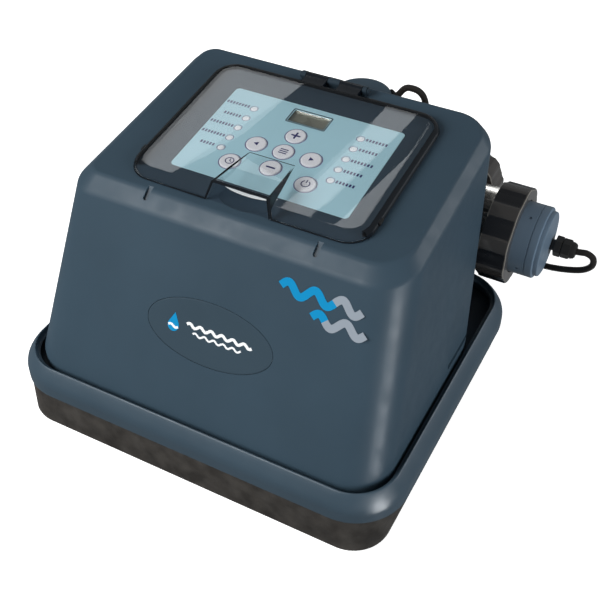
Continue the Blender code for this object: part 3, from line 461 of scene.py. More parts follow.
SLATE_COLOUR = (0.035, 0.06, 0.084)
PALETTE = {
    "slate_plastic": moulded("slate_plastic", SLATE_COLOUR, 0.42, specular=0.55),
    "charcoal_plastic": tray_material(),
    # The deck is darker than the housing's slate: part painted shade, for the deep gutter round the housing.
    "deck_plastic": moulded("deck_plastic", (0.022, 0.036, 0.052), 0.5, 0.2, 0.25, depth=0.0001),
    "foot_rubber": moulded("foot_rubber", (0.016, 0.016, 0.017), 0.78, 0.2, 0.25, 900.0, 0.0001),
    "screw_steel": brushed_metal("screw_steel", (0.55, 0.56, 0.58), 0.34),
    "label_film": moulded("label_film", (0.42, 0.64, 0.72), 0.36, 0.03, 0.08, 2600.0, specular=0.35),
    "key_plastic": moulded("key_plastic", (0.84, 0.79, 0.82), 0.4, 0.02, 0.08, 2600.0),
    "window_acrylic": clear_plastic("window_acrylic", (0.94, 0.95, 0.9), 0.04, (0.85, 0.86, 0.8)),
    "display_glass": moulded("display_glass", (0.12, 0.11, 0.095), 0.3, 0.03),
    "light_pipe_acrylic": moulded("light_pipe_acrylic", (0.88, 0.85, 0.87), 0.3, 0.03, 0.08),
    "circuit_board": board_material(),
    "lid_acrylic": lid_material(),
    "cell_acrylic": clear_plastic("cell_acrylic", (0.6, 0.59, 0.57), 0.12, (0.5, 0.5, 0.49)),
    "plate_titanium": brushed_metal("plate_titanium", (0.32, 0.31, 0.3), 0.4),
    "seal_rubber": moulded("seal_rubber", (0.014, 0.014, 0.014), 0.7, 0.2, 0.25, 900.0),
    "gland_nylon": moulded("gland_nylon", (0.016, 0.0155, 0.015), 0.36, 0.15, 0.25),
    "lead_sheath": moulded("lead_sheath", (0.018, 0.0155, 0.014), 0.38, 0.2, 0.25, 700.0),
    "transformer_iron": transformer_material(),
    "heat_sink_aluminium": brushed_metal("heat_sink_aluminium", (0.6, 0.61, 0.62), 0.36),
    "terminal_plastic": moulded("terminal_plastic", (0.03, 0.14, 0.08), 0.42, 0.08, 0.25),
}
HOUSING_SLATE = housing_material()
# Painted shade: near-black for the lid's rim, its tab's side wall and its dark lines, where the lid looks dark.
LID_PAINTED_SHADE = moulded("lid_painted_shade", (0.004, 0.006, 0.009), 0.16, 0.2, 0.04)
# Painted shade for the end nuts' grooves.
NUT_GROOVE_SHADE = moulded("nut_groove_shade", (0.012, 0.0125, 0.015), 0.3)
CAP_SLATE = moulded("cap_slate", (0.13, 0.186, 0.25), 0.36, 0.05, 0.06)
PIN_SLATE = moulded("pin_slate", (0.02, 0.032, 0.044), 0.35, 0.05, 0.06)
# Painted highlight for the lip of the finger scoop.
GLINT_WHITE = moulded("glint_white", (0.9, 0.93, 0.95), 0.3, 0.03)
BADGE_SLATE = moulded("badge_slate", (0.034, 0.057, 0.078), 0.4, 0.04, 0.14)
PRINT_NAVY = moulded("print_navy", (0.018, 0.014, 0.12), 0.45)
PRINT_MAUVE = moulded("print_mauve", (0.2, 0.16, 0.3), 0.45)
PRINT_DARK = moulded("print_dark", (0.035, 0.05, 0.075), 0.4)
EMBLEM_BLUE = moulded("emblem_blue", (0.003, 0.24, 0.5), 0.45, 0.04, 0.06)
EMBLEM_GREY = moulded("emblem_grey", (0.27, 0.31, 0.36), 0.4, 0.04, 0.06)
EMBLEM_WHITE = moulded("emblem_white", (0.86, 0.88, 0.9), 0.4, 0.02, 0.06)


# ---- mesh tools ----
def add_mesh(name, verts, faces):
    """One closed mesh object in the row frame with its faces pointing out."""
    mesh = bpy.data.meshes.new(name)
    mesh.from_pydata([tuple(v) for v in verts], [], faces)
    shape = bmesh.new()
    shape.from_mesh(mesh)
    bmesh.ops.recalc_face_normals(shape, faces=shape.faces)
    shape.to_mesh(mesh)
    shape.free()
    return put(name, mesh)


def sheet(name, corners, mat):
    """One four-cornered face, for the floor and the glare cards."""
    mesh = bpy.data.meshes.new(name)
    mesh.from_pydata([tuple(corner) for corner in corners], [], [(0, 1, 2, 3)])
    mesh.materials.append(mat)
    return put(name, mesh)


def tube_curve(name, radius, resolution, routes, mat):
    """Round tubes along routes; each is a list of points in the row frame with a factor on the radius, and
    whether it is closed."""
    curve = bpy.data.curves.new(name, "CURVE")
    curve.dimensions = "3D"
    curve.bevel_depth = radius * MM
    curve.bevel_resolution = resolution
    curve.use_fill_caps = True
    for points, closed in routes:
        line = curve.splines.new("POLY")
        line.points.add(len(points) - 1)
        for spot, (point, swell) in zip(line.points, points):
            spot.co = (*point, 1.0)
            spot.radius = swell
        line.use_cyclic_u = closed
    curve.materials.append(mat)
    return put(name, curve)


def loft(name, loops, spot=None, ring=False):
    """Skin loops of equal length: capped at both ends, or joined end to start for a ring."""
    count = len(loops[0])
    verts = []
    for loop in loops:
        for point in loop:
            vec = Vector(point)
            verts.append(place(spot @ vec if spot is not None else vec))
    faces = []
    last = len(loops) if ring else len(loops) - 1
    for i in range(last):
        a = i * count
        b = ((i + 1) % len(loops)) * count
        for j in range(count):
            k = (j + 1) % count
            faces.append((a + j, a + k, b + k, b + j))
    if not ring:
        faces.append(tuple(range(count))[::-1])
        faces.append(tuple(range((len(loops) - 1) * count, len(loops) * count)))
    return add_mesh(name, verts, faces)


def arc(rx, ry, start, end, steps, cx=0.0, cy=0.0):
    """Points on an ellipse round (cx, cy), from one angle to another in degrees."""
    points = []
    for k in range(steps + 1):
        a = math.radians(start + (end - start) * k / steps)
        points.append((cx + rx * math.cos(a), cy + ry * math.sin(a)))
    return points


def rounded_loop(cx, cy, hx, hy, radius, z, steps=14):
    """Rounded rectangle of half sizes hx and hy round (cx, cy), at height z."""
    points = []
    corners = ((1.0, -1.0, -90.0), (1.0, 1.0, 0.0), (-1.0, 1.0, 90.0), (-1.0, -1.0, 180.0))
    for sx, sy, start in corners:
        x = cx + sx * (hx - radius)
        y = cy + sy * (hy - radius)
        points += [(*point, z) for point in arc(radius, radius, start, start + 90.0, steps, x, y)]
    return points


def circle_loop(radius, z, count=72, cx=0.0, cy=0.0, squash=1.0):
    """Circle, or an ellipse narrowed along Y, at height z."""
    points = []
    for k in range(count):
        a = 2.0 * math.pi * k / count
        points.append((cx + radius * math.cos(a), cy + squash * radius * math.sin(a), z))
    return points


def turned(name, profile, spot, count=72, ring=False):
    """Round piece from (radius, height) pairs: solid, or bored when its profile is closed."""
    return loft(name, [circle_loop(r, z, count) for r, z in profile], spot, ring)


def prism(name, outline, low, high, spot):
    """Outline in x and y extruded from low to high."""
    return loft(name, [[(x, y, low) for x, y in outline], [(x, y, high) for x, y in outline]], spot)


def box(name, lo, hi, spot):
    """Plain block, used as a tool or joined into a larger piece."""
    outline = [(lo[0], lo[1]), (hi[0], lo[1]), (hi[0], hi[1]), (lo[0], hi[1])]
    return prism(name, outline, lo[2], hi[2], spot)


def combine(target, others, operation):
    """Cut others from the target, or join them to it, and drop them."""
    for other in others:
        step = target.modifiers.new("step", "BOOLEAN")
        step.operation = operation
        step.solver = "EXACT"
        step.object = other
    graph = bpy.context.evaluated_depsgraph_get()
    graph.update()
    mesh = bpy.data.meshes.new_from_object(target.evaluated_get(graph))
    target.modifiers.clear()
    target.data = mesh
    for other in others:
        bpy.data.objects.remove(other, do_unlink=True)
    return target


def merged(name, parts):
    """Separate closed shapes kept as one piece."""
    shape = bmesh.new()
    for part in parts:
        shape.from_mesh(part.data)
        bpy.data.objects.remove(part, do_unlink=True)
    mesh = bpy.data.meshes.new(name)
    shape.to_mesh(mesh)
    shape.free()
    return put(name, mesh)


def show(obj, body, mat, slot=None, nodes=(), edge=0.0, sharp=32.0):
    """Finish a piece: material, smooth shading, edges rounded by edge millimetres, and what it stands for and
    rides on."""
    obj.data.materials.clear()
    obj.data.materials.append(mat)
    obj.data.shade_smooth()
    obj.data.set_sharp_from_angle(angle=math.radians(sharp))
    if edge > 0.0:
        soft = obj.modifiers.new("soft_edges", "BEVEL")
        soft.width = edge * MM
        soft.segments = 2
        soft.limit_method = "ANGLE"
        soft.angle_limit = math.radians(30.0)
        soft.harden_normals = True
        soft.use_clamp_overlap = True
    weigh = obj.modifiers.new("face_weights", "WEIGHTED_NORMAL")
    weigh.keep_sharp = True
    if nodes:
        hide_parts(*nodes)
    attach(obj, body)


def stand_for(obj, node, mat=None, edge=0.0, sharp=32.0):
    """Show a finer piece in place of one CAD node, on the same body and with the same finish."""
    slot = SLOTS[node]
    show(obj, NODE_BODY[node], mat or PALETTE[slot], slot, (node,), edge, sharp)


SLOTS = {row["node"]: row["material_slot"] for row in frame["record"]["subparts"]}


def refine(node, edge):
    """Show a CAD node again with its facets joined, shaded smooth and its edges rounded."""
    shape = bmesh.new()
    shape.from_mesh(frame["nodes"][node].data)
    bmesh.ops.remove_doubles(shape, verts=shape.verts, dist=0.000001)
    flat = math.radians(0.4)
    bmesh.ops.dissolve_limit(shape, angle_limit=flat, verts=shape.verts, edges=shape.edges)
    mesh = bpy.data.meshes.new(node + "_fine")
    shape.to_mesh(mesh)
    shape.free()
    stand_for(put(node + "_fine", mesh), node, edge=edge)


# ---- the cell lead ----
LEAD_POINTS = [
    (214.9, GLAND_Y, GLAND_Z), (226.0, GLAND_Y, GLAND_Z), (237.5, GLAND_Y, GLAND_Z),
    (246.0, 167.2, 115.6), (252.6, 167.8, 111.5), (253.2, 168.6, 102.5), (246.0, 169.6, 94.0),
    (232.0, 171.0, 87.5), (214.0, 173.5, 82.0), (195.0, 178.0, 78.0), (172.0, 184.5, 76.0),
    (146.0, 191.0, 78.0), (118.0, 196.3, 82.0), (92.0, 197.3, 88.0), (74.0, 197.2, 100.0),
    (67.5, 197.0, 118.0), (67.0, 195.5, 142.0), (68.5, 191.0, 168.0), (70.5, 184.5, 194.0),
    (71.0, 177.5, 214.0), (69.8, 174.0, 226.5), (67.0, 172.9, 232.4), (62.5, 172.4, 235.6),
    (57.0, 172.1, 236.5), (52.0, 171.8, 235.9), (48.5, 171.1, 233.2), (46.1, 169.7, 229.7),
]
# The last points run straight into the hood's outlet, at these distances from its middle.
LEAD_POINTS += [
    (HOOD_X + reach * math.cos(OUTLET_ANGLE), HOOD_Y + reach * math.sin(OUTLET_ANGLE), OUTLET_Z)
    for reach in (33.6, 31.6, 27.5, 20.0, 12.0)
]


def smooth_path(points, parts):
    """Catmull-Rom curve through the points."""
    vecs = [Vector(p) for p in points]
    ext = [vecs[0] * 2.0 - vecs[1]] + vecs + [vecs[-1] * 2.0 - vecs[-2]]
    path = []
    for i in range(1, len(ext) - 2):
        p0, p1, p2, p3 = ext[i - 1], ext[i], ext[i + 1], ext[i + 2]
        for k in range(parts):
            t = k / parts
            b = (p2 - p0) * t
            c = (p0 * 2.0 - p1 * 5.0 + p2 * 4.0 - p3) * (t * t)
            d = (p1 * 3.0 - p0 - p2 * 3.0 + p3) * (t * t * t)
            path.append((p1 * 2.0 + b + c + d) * 0.5)
    path.append(vecs[-1])
    return path


def make_lead():
    """The lead from the cell's gland, round behind the unit and up into the cable hood."""
    path = [place(p) for p in smooth_path(LEAD_POINTS, 5)]
    route = [(point, 1.0) for point in path]
    lead = tube_curve("cell_lead_cord", LEAD_R, 6, [(route, False)], PALETTE["lead_sheath"])
    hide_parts("cell_lead")
    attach(lead, "unit")


make_lead()


# ---- base: tray, feet, flange, deck ----
def base_loop(inset, z):
    """Outline of the base, moved inward by inset."""
    return rounded_loop(0.0, 0.0, BASE_HALF_X - inset, BASE_HALF_Y - inset, BASE_CORNER_R - inset, z, 18)


def tray_loop(inset, z):
    """Outline of the narrower bottom of the tray, moved inward by inset."""
    hx = BASE_HALF_X - TRAY_SIDE_INSET - inset
    hy = BASE_HALF_Y - TRAY_FRONT_INSET - inset
    return rounded_loop(0.0, 0.0, hx, hy, TRAY_CORNER_R - inset, z, 18)


def make_tray():
    """Open tray with a soft bottom edge and cut-outs for its feet and screws."""
    foot_x, foot_y = 158.0, 128.0
    screw_x, screw_y = 142.0, 112.0
    profile = ((3.2, 0.0), (1.6, 0.4), (0.5, 1.3), (0.05, 2.9))
    loops = [tray_loop(inset, TRAY_LOW_Z + up) for inset, up in profile]
    loops += [base_loop(inset, TRAY_TOP_Z + up) for inset, up in ((1.4, -0.8), (2.1, 0.0), (5.2, 0.0))]
    loops.append(tray_loop(3.8, TRAY_LOW_Z + 3.5))
    tray = loft("base_tray_fine", loops)
    cutters = []
    for sx in (-1.0, 1.0):
        for sy in (-1.0, 1.0):
            foot_at = Matrix.Translation((sx * foot_x, sy * foot_y, 0.0))
            cutters.append(turned("tool", [(12.4, -4.0), (12.4, 0.2)], foot_at, 48))
            screw_at = Matrix.Translation((sx * screw_x, sy * screw_y, 0.0))
            hole = [(4.4, -4.0), (4.4, 0.6), (2.3, 0.6), (2.3, 5.0)]
            cutters.append(turned("tool", hole, screw_at, 32))
    combine(tray, cutters, "DIFFERENCE")
    stand_for(tray, "base_tray", sharp=40.0)


def make_flange():
    """Slate rim of the base: a rounded shoulder, a narrow crest, a thin inner lip and a hollow underside."""
    shoulder = [(0.5, FLANGE_LOW_Z), (0.0, FLANGE_LOW_Z + 0.6), (0.0, 46.0), (0.12, 48.4), (0.6, 50.8)]
    shoulder += [(1.2, 52.7), (2.0, 54.4), (3.0, 56.2), (4.2, 58.0), (5.4, 59.8), (6.6, 61.4), (7.6, 62.6)]
    crest = [(8.4, 63.5), (8.9, 63.9), (9.4, 64.0), (9.9, 63.8), (10.3, 63.0), (10.6, 61.4)]
    lip = [(11.4, 60.2), (12.6, 59.6), (13.4, 59.4), (13.6, 59.0), (13.4, 57.6), (10.2, 56.8)]
    under = [(10.2, 46.6), (14.5, 46.6), (14.5, 43.0), (5.0, 40.0), (5.0, FLANGE_LOW_Z)]
    loops = [base_loop(inset, z) for inset, z in shoulder + crest + lip + under]
    stand_for(loft("flange_ring_fine", loops, ring=True), "flange_ring")


make_tray()
make_flange()
refine("deck_plate", 0.3)
for index in range(4):
    refine("rubber_foot_%d" % index, 0.4)
    refine("base_screw_%d" % index, 0.15)


# ---- housing ----
def crown_loop(inset, drop):
    """Outline of the tapering housing where a plane parallel to its top meets it."""
    level = TOP_Z_AT_ZERO - drop
    rise = level - HOUSING_FOOT_Z
    y_front = (HOUSING_FRONT_Y + rise * FRONT_SLOPE) / (1.0 - TOP_SLOPE * FRONT_SLOPE) + inset
    y_rear = (HOUSING_REAR_Y + rise * REAR_SLOPE) / (1.0 - TOP_SLOPE * REAR_SLOPE) - inset
    right = HOUSING_TOP_R - inset
    left = HOUSING_TOP_R_LEFT - inset
    points = []
    corners = ((1, right, y_front + right, -90), (1, right, y_rear - right, 0))
    corners += ((-1, left, y_rear - left, 90), (-1, left, y_front + left, 180))
    for side, radius, cy, start in corners:
        for across, y in arc(radius, radius, start, start + 90.0, 14, 0.0, cy):
            z = level + y * TOP_SLOPE
            half = HOUSING_HALF_X - (z - HOUSING_FOOT_Z) * SIDE_SLOPE - inset
            points.append((side * (half - radius) + across, y, z))
    return points


def foot_loop(inset, z):
    """Outline of the housing at its foot."""
    middle = (HOUSING_FRONT_Y + HOUSING_REAR_Y) / 2.0
    hy = (HOUSING_REAR_Y - HOUSING_FRONT_Y) / 2.0 - inset
    return rounded_loop(0.0, middle, HOUSING_HALF_X - inset, hy, HOUSING_FOOT_R - inset, z)


def rear_wall_y(z):
    """Where the outer face of the leaning rear wall is at height z."""
    return HOUSING_REAR_Y + (z - HOUSING_FOOT_Z) * REAR_SLOPE


EDGE_SOFT = 4.3


def crown_profile():
    """(inset, drop) of the top edge: a flat chamfer blended into the top and the walls."""
    mix = 0.19
    reach = TOP_BEVEL + 2.5
    points = []
    for k in range(5):
        t = k / 4.0
        points.append((mix * EDGE_SOFT * t * t * 2.2, reach - EDGE_SOFT * t))
    return points + [(drop, inset) for inset, drop in reversed(points)]


def panel_cutters(low_w, high_w, slack):
    """Tools for the key, lamp and display openings."""
    tools = []
    for spots, radius, count in ((KEY_SPOTS.values(), KEY_R, 64), (LED_SPOTS, LED_R, 32)):
        profile = [(radius + slack, low_w), (radius + slack, high_w)]
        tools += [turned("tool", profile, spot, count) for spot in spots]
    loops = [display_loop(slack - 0.3, 0.8, w) for w in (low_w, high_w)]
    tools.append(loft("tool", loops, PANEL))
    return tools


def display_loop(grow, radius, w):
    """Outline of the display, moved outward by grow."""
    return rounded_loop(PANEL_MID_U, LCD_MID_V, LCD_U / 2 + grow, LCD_V / 2 + grow, radius, w, 4)


# Places of the keys, and of the left and then the right column of lamps.
KEY_SPOTS = {name: panel_spot(PANEL_MID_U + u, v) for name, (u, v) in KEYS.items()}
LED_SPOTS = [panel_spot(PANEL_MID_U + side * LED_SPAN, v) for side in (-1.0, 1.0) for v in LED_VS]
OVAL_X = 2.6
OVAL_HALF_X = 60.0
OVAL_HALF_S = 27.5


def oval_loop(inset, w):
    """Badge outline in the front face's coordinates."""
    points = []
    for k in range(96):
        a = 2.0 * math.pi * k / 96
        points.append((OVAL_X + (OVAL_HALF_X - inset) * math.cos(a), (OVAL_HALF_S - inset) * math.sin(a), w))
    return points


def cut_notches(shell):
    """Two slots with round ends across the front edge of the top."""
    tools = []
    for side in (-1.0, 1.0):
        lean = panel_spot(NOTCH_MID_U + side * NOTCH_SPAN, NOTCH_V)
        lean = lean @ Matrix.Translation((0.0, 0.0, -NOTCH_DEPTH)) @ Matrix.Rotation(NOTCH_LEAN, 4, "X")
        loops = [rounded_loop(0.0, 0.75, 2.4, 8.25, 2.2, w, 6) for w in (-0.2, 8.0)]
        tools.append(loft("tool", loops, lean))
    combine(shell, tools, "DIFFERENCE")


def cut_side_recesses(shell):
    """Shallow recess low on each side."""
    tools = []
    for side in (-1.0, 1.0):
        loops = []
        for z in (RECESS_LOW_Z, RECESS_HIGH_Z):
            wall_x = HOUSING_HALF_X - (z - HOUSING_FOOT_Z) * SIDE_SLOPE
            y0 = RECESS_FRONT_Y - (z - RECESS_LOW_Z) * 0.05
            y1 = RECESS_REAR_Y
            xa = side * (wall_x - RECESS_DEPTH)
            xb = side * (wall_x + 12.0)
            loops.append([(xa, y0, z), (xb, y0, z), (xb, y1, z), (xa, y1, z)])
        tools.append(loft("tool", loops))
    combine(shell, tools, "DIFFERENCE")


def make_housing():
    """Tapered shell with its label pocket, panel openings, finger scoop, notches and recesses."""
    loops = [
        crown_loop(HOUSING_WALL + TOP_BEVEL - 1.0, HOUSING_WALL),
        crown_loop(HOUSING_WALL, HOUSING_WALL + TOP_BEVEL - 1.0),
        foot_loop(HOUSING_WALL, HOUSING_FOOT_Z), foot_loop(HOUSING_WALL, DECK_TOP_Z + 0.3),
        foot_loop(0.0, DECK_TOP_Z + 0.3), foot_loop(0.0, HOUSING_FOOT_Z),
    ]
    shell = loft("housing_shell_fine", loops + [crown_loop(inset, drop) for inset, drop in crown_profile()])
    pocket = [rounded_loop(0.0, 0.0, LABEL_U / 2 + 0.3, LABEL_V / 2 + 0.3, 4.0, w, 8) for w in (-0.6, 6.0)]
    combine(shell, [loft("tool", pocket, PANEL)], "DIFFERENCE")
    combine(shell, panel_cutters(-8.0, 8.0, 0.3), "DIFFERENCE")

    scoop_loops = []
    for radius, depth in arc(SCOOP_R, -SCOOP_DEPTH, 0.0, 90.0, 8, 0.6, 0.6):
        scoop_loops.append(circle_loop(radius, depth, 72, TAB_MID_U, 0.0, 0.5))
    scoop = loft("tool", scoop_loops, panel_spot(0.0, SCOOP_V))
    combine(shell, [scoop], "DIFFERENCE")
    cut_notches(shell)
    cut_side_recesses(shell)
    combine(shell, [loft("tool", [oval_loop(-0.3, -0.9), oval_loop(-0.3, 5.0)], FACE)], "DIFFERENCE")
    combine(shell, [turned("tool", [(INLET_R, -9.0), (INLET_R, 6.0)], inlet_frame(), 48)], "DIFFERENCE")
    stand_for(shell, "housing_shell", HOUSING_SLATE, sharp=28.0)


def make_scoop_glint():
    """Painted highlight: a pale crescent along the rear lip of the finger scoop, below the tab."""
    outline = arc(26.5, 8.0, 8.0, 172.0, 24) + arc(26.3, 5.0, 172.0, 8.0, 24)
    spot = panel_spot(TAB_MID_U - 2.5, -59.3) @ Matrix.Rotation(math.pi, 4, "Z")
    show(prism("scoop_glint", outline, -0.25, 0.14, spot), "unit", GLINT_WHITE, "slate_plastic")


def inlet_frame():
    """Axis of the mains gland, square to the rear wall."""
    turn = Matrix.Rotation(-math.pi / 2 - REAR_LEAN, 4, "X")
    return Matrix.Translation((INLET_X, rear_wall_y(INLET_Z), INLET_Z)) @ turn


make_housing()
make_scoop_glint()
BADGE_EDGE = ((0.0, -0.8), (0.0, -0.1), (0.2, 0.2), (0.7, 0.4), (1.6, 0.5))
badge_loops = [oval_loop(inset, w) for inset, w in BADGE_EDGE]
stand_for(loft("front_badge_fine", badge_loops, FACE), "front_badge", BADGE_SLATE)
refine("mains_gland", 0.4)


# ---- printed emblems on the front: plain waves and a drop ----
def ribbon(name, x0, x1, mid, swing, pitch, width, low, high, spot):
    """Wavy band with round ends, extruded from low to high."""
    steps = 48
    upper = []
    lower = []
    for k in range(steps + 1):
        x = x0 + (x1 - x0) * k / steps
        phase = 2.0 * math.pi * (x - x0) / pitch
        y = mid + swing * math.sin(phase)
        slope = swing * 2.0 * math.pi / pitch * math.cos(phase)
        scale = width / 2.0 / math.hypot(1.0, slope)
        upper.append((x - slope * scale, y + scale))
        lower.append((x + slope * scale, y - scale))
    return prism(name, lower + upper[::-1], low, high, spot)


def drop_outline(x, y, radius):
    """Water drop: round below, pointed above."""
    return arc(radius, radius, -215.0, 35.0, 40, x, y) + [(x, y + 2.1 * radius)]


def make_emblems():
    """Two-tone waves at the upper right and a drop with waves on the badge."""
    low, high = -0.1, 0.35
    blue = [
        ribbon("part", 56.0, 103.0, 62.5, 4.6, 23.5, 6.6, low, high, FACE),
        ribbon("part", 87.0, 98.5, 46.0, 4.2, 23.0, 6.6, low, high, FACE),
    ]
    grey = [
        ribbon("part", 103.0, 126.5, 62.5, 4.6, 23.5, 6.6, low, high, FACE),
        ribbon("part", 98.5, 133.0, 46.0, -4.2, 23.0, 6.6, low, high, FACE),
    ]
    show(merged("emblem_wave_blue", blue), "unit", EMBLEM_BLUE, edge=0.12)
    show(merged("emblem_wave_grey", grey), "unit", EMBLEM_GREY, edge=0.12)
    low, high = 0.4, 0.75
    drop = prism("badge_drop_blue", drop_outline(-31.5, -2.0, 5.4), low, high, FACE)
    show(drop, "unit", EMBLEM_BLUE, edge=0.12)
    white = [
        ribbon("part", -36.3, -26.7, -2.6, 1.0, 9.6, 2.1, low, high + 0.15, FACE),
        ribbon("part", -19.0, 43.0, 2.9, 1.5, 10.4, 2.6, low, high, FACE),
        ribbon("part", -12.0, 34.0, -3.7, 1.2, 9.0, 1.7, low, high, FACE),
    ]
    show(merged("badge_wave_white", white), "unit", EMBLEM_WHITE, edge=0.12)


make_emblems()


# ---- control panel ----
def make_label():
    """Printed film over the keypad, with openings for the keys, lamps and display."""
    loops = []
    for inset, w in ((0.0, LABEL_TOP_W - 0.5), (0.0, LABEL_TOP_W - 0.12), (0.15, LABEL_TOP_W)):
        loops.append(rounded_loop(0.0, 0.0, LABEL_U / 2 - inset, LABEL_V / 2 - inset, 4.0 - inset, w, 8))
    label = loft("membrane_label_fine", loops, PANEL)
    combine(label, panel_cutters(-3.0, 3.0, 0.25), "DIFFERENCE")
    stand_for(label, "membrane_label", sharp=30.0)


def flat_ring(inner, outer, low, high, spot, count=64):
    """Flat printed ring."""
    return turned("part", [(inner, low), (outer, low), (outer, high), (inner, high)], spot, count, ring=True)


def stroke(x0, x1, y0, y1, radius, steps, low, high, spot):
    """Flat printed stroke with rounded corners."""
    outline = rounded_loop((x0 + x1) / 2, (y0 + y1) / 2, (x1 - x0) / 2, (y1 - y0) / 2, radius, 0.0, steps)
    return prism("part", [(x, y) for x, y, _ in outline], low, high, spot)


PRINT_LOW = LABEL_TOP_W - 0.1
PRINT_HIGH = LABEL_TOP_W + 0.06
CAPTIONS_LEFT = ((23.0, 37.4), (17.5, 22.1), (23.0, 7.8), (23.0, -6.8), (16.0, -21.2))
CAPTION_PITCH = 3.0
CAPTIONS_RIGHT = ((20.5, 37.0), (18.5, 22.8), (22.0, 7.3), (17.5, -7.0), (19.5, -21.6))


def caption(width, u, v):
    """A row of short dashes standing for a caption, as wide as the words would be."""
    starts = [u + CAPTION_PITCH * k for k in range(round(width / CAPTION_PITCH))]
    return [stroke(x, x + 1.8, v - 1.8, v + 1.8, 0.6, 3, PRINT_LOW, PRINT_HIGH, PANEL) for x in starts]


def make_label_print():
    """Rings round the keys and lamps, the display's frame and the captions' dashes."""
    rings = []
    for spot in KEY_SPOTS.values():
        rings.append(flat_ring(KEY_R + 0.35, KEY_R + 1.15, PRINT_LOW, PRINT_HIGH, spot))
    for spot in LED_SPOTS:
        rings.append(flat_ring(LED_R + 0.32, LED_R + 0.85, PRINT_LOW, PRINT_HIGH, spot, 32))
    show(merged("label_rings", rings), "unit", PRINT_MAUVE, "label_film")

    dashes = []
    for width, v in CAPTIONS_LEFT:
        dashes += caption(width, -59.5 - width, v)
    for width, v in CAPTIONS_RIGHT:
        dashes += caption(width, 56.0, v)
    show(merged("label_captions", dashes), "unit", PRINT_NAVY, "label_film")

    edges = ((0.35, PRINT_LOW), (1.5, PRINT_LOW), (1.5, PRINT_HIGH), (0.35, PRINT_HIGH))
    loops = [display_loop(grow, 0.7 + grow / 2, w) for grow, w in edges]
    show(loft("display_frame", loops, PANEL, ring=True), "unit", PRINT_DARK, "label_film")


def key_symbol(name, spot):
    """Raised print on a key: an arrow, plus, minus, list, clock or power sign."""
    low, high = KEY_TOP_W - 0.08, KEY_TOP_W + 0.09

    def bar(x0, x1, y0, y1, turn=0.0):
        """Round-cornered stroke."""
        frame_here = spot @ Matrix.Rotation(math.radians(turn), 4, "Z")
        return stroke(x0, x1, y0, y1, min(x1 - x0, y1 - y0) * 0.35, 4, low, high, frame_here)

    if name == "key_plus":
        return [combine(bar(-4.4, 4.4, -0.85, 0.85), [bar(-0.85, 0.85, -4.4, 4.4)], "UNION")]
    if name == "key_minus":
        return [bar(-4.4, 4.4, -0.85, 0.85)]
    if name in ("key_left", "key_right"):
        side = -1.0 if name == "key_left" else 1.0
        outline = [(side * 2.5, 0.0), (-side * 1.7, 2.3), (-side * 1.7, -2.3)]
        return [prism("part", outline, low, high, spot)]
    if name == "key_menu":
        return [bar(-3.9, 3.9, y - 0.55, y + 0.55) for y in (-2.4, 0.0, 2.4)]
    if name == "key_timer":
        dial = flat_ring(3.3, 4.1, low, high, spot, 40)
        return [dial, bar(-0.35, 0.35, -0.3, 2.7), bar(-0.35, 0.35, -0.3, 2.0, -115.0)]
    broken_ring = arc(4.1, 4.1, 125.0, 415.0, 24) + arc(3.2, 3.2, 415.0, 125.0, 24)
    return [prism("part", broken_ring, low, high, spot), bar(-0.45, 0.45, 1.0, 4.7)]


def make_keys():
    """Seven round keys with slightly dished tops and printed symbols."""
    stem = [(2.0, -8.0), (2.0, -4.6), (10.4, -4.6), (10.4, -3.4), (KEY_R, -3.4), (KEY_R, 0.2)]
    rim = [(0.15, 0.5), (0.45, 0.75), (0.9, KEY_TOP_W), (1.7, KEY_TOP_W), (3.0, KEY_TOP_W - 0.03)]
    profile = stem + [(KEY_R - inset, w) for inset, w in rim] + [(0.8, KEY_TOP_W - 0.05)]
    for name, spot in KEY_SPOTS.items():
        stand_for(turned(name + "_cap", profile, spot, 64), name)
        symbol = merged(name + "_symbol", key_symbol(name, spot))
        show(symbol, NODE_BODY[name], PRINT_NAVY, "key_plastic")


def make_light_pipes():
    """Bars of lamp windows under the film, each with five domed stems."""
    profile = [(LED_R, -4.6), (LED_R, -0.35), (LED_R - 0.3, -0.2), (LED_R - 1.2, -0.1), (0.4, -0.1)]
    mid_v = (LED_VS[0] + LED_VS[-1]) / 2.0
    half_v = LED_VS[0] - mid_v + 5.0
    for side, word, spots in ((-1.0, "left", LED_SPOTS[:5]), (1.0, "right", LED_SPOTS[5:])):
        u = PANEL_MID_U + side * LED_SPAN
        loops = [rounded_loop(u, mid_v, 4.0, half_v, 2.0, w, 5) for w in (-5.6, -3.4)]
        bar = loft("light_pipe_%s_fine" % word, loops, PANEL)
        combine(bar, [turned("stem", profile, spot, 32) for spot in spots], "UNION")
        stand_for(bar, "light_pipe_" + word)


make_label()
make_label_print()
make_keys()
make_light_pipes()
refine("lcd_window", 0.2)
refine("lcd_module", 0.3)
refine("control_board", 0.1)


# ---- lid with its finger tab and hinge ----
def lid_loop(inset, w):
    """Outline of the lid in panel coordinates."""
    hu = LID_HALF_U - inset
    hv = LID_HALF_V - inset
    return rounded_loop(LID_MID_U, LID_MID_V, hu, hv, LID_R - inset * 0.94, w, 16)


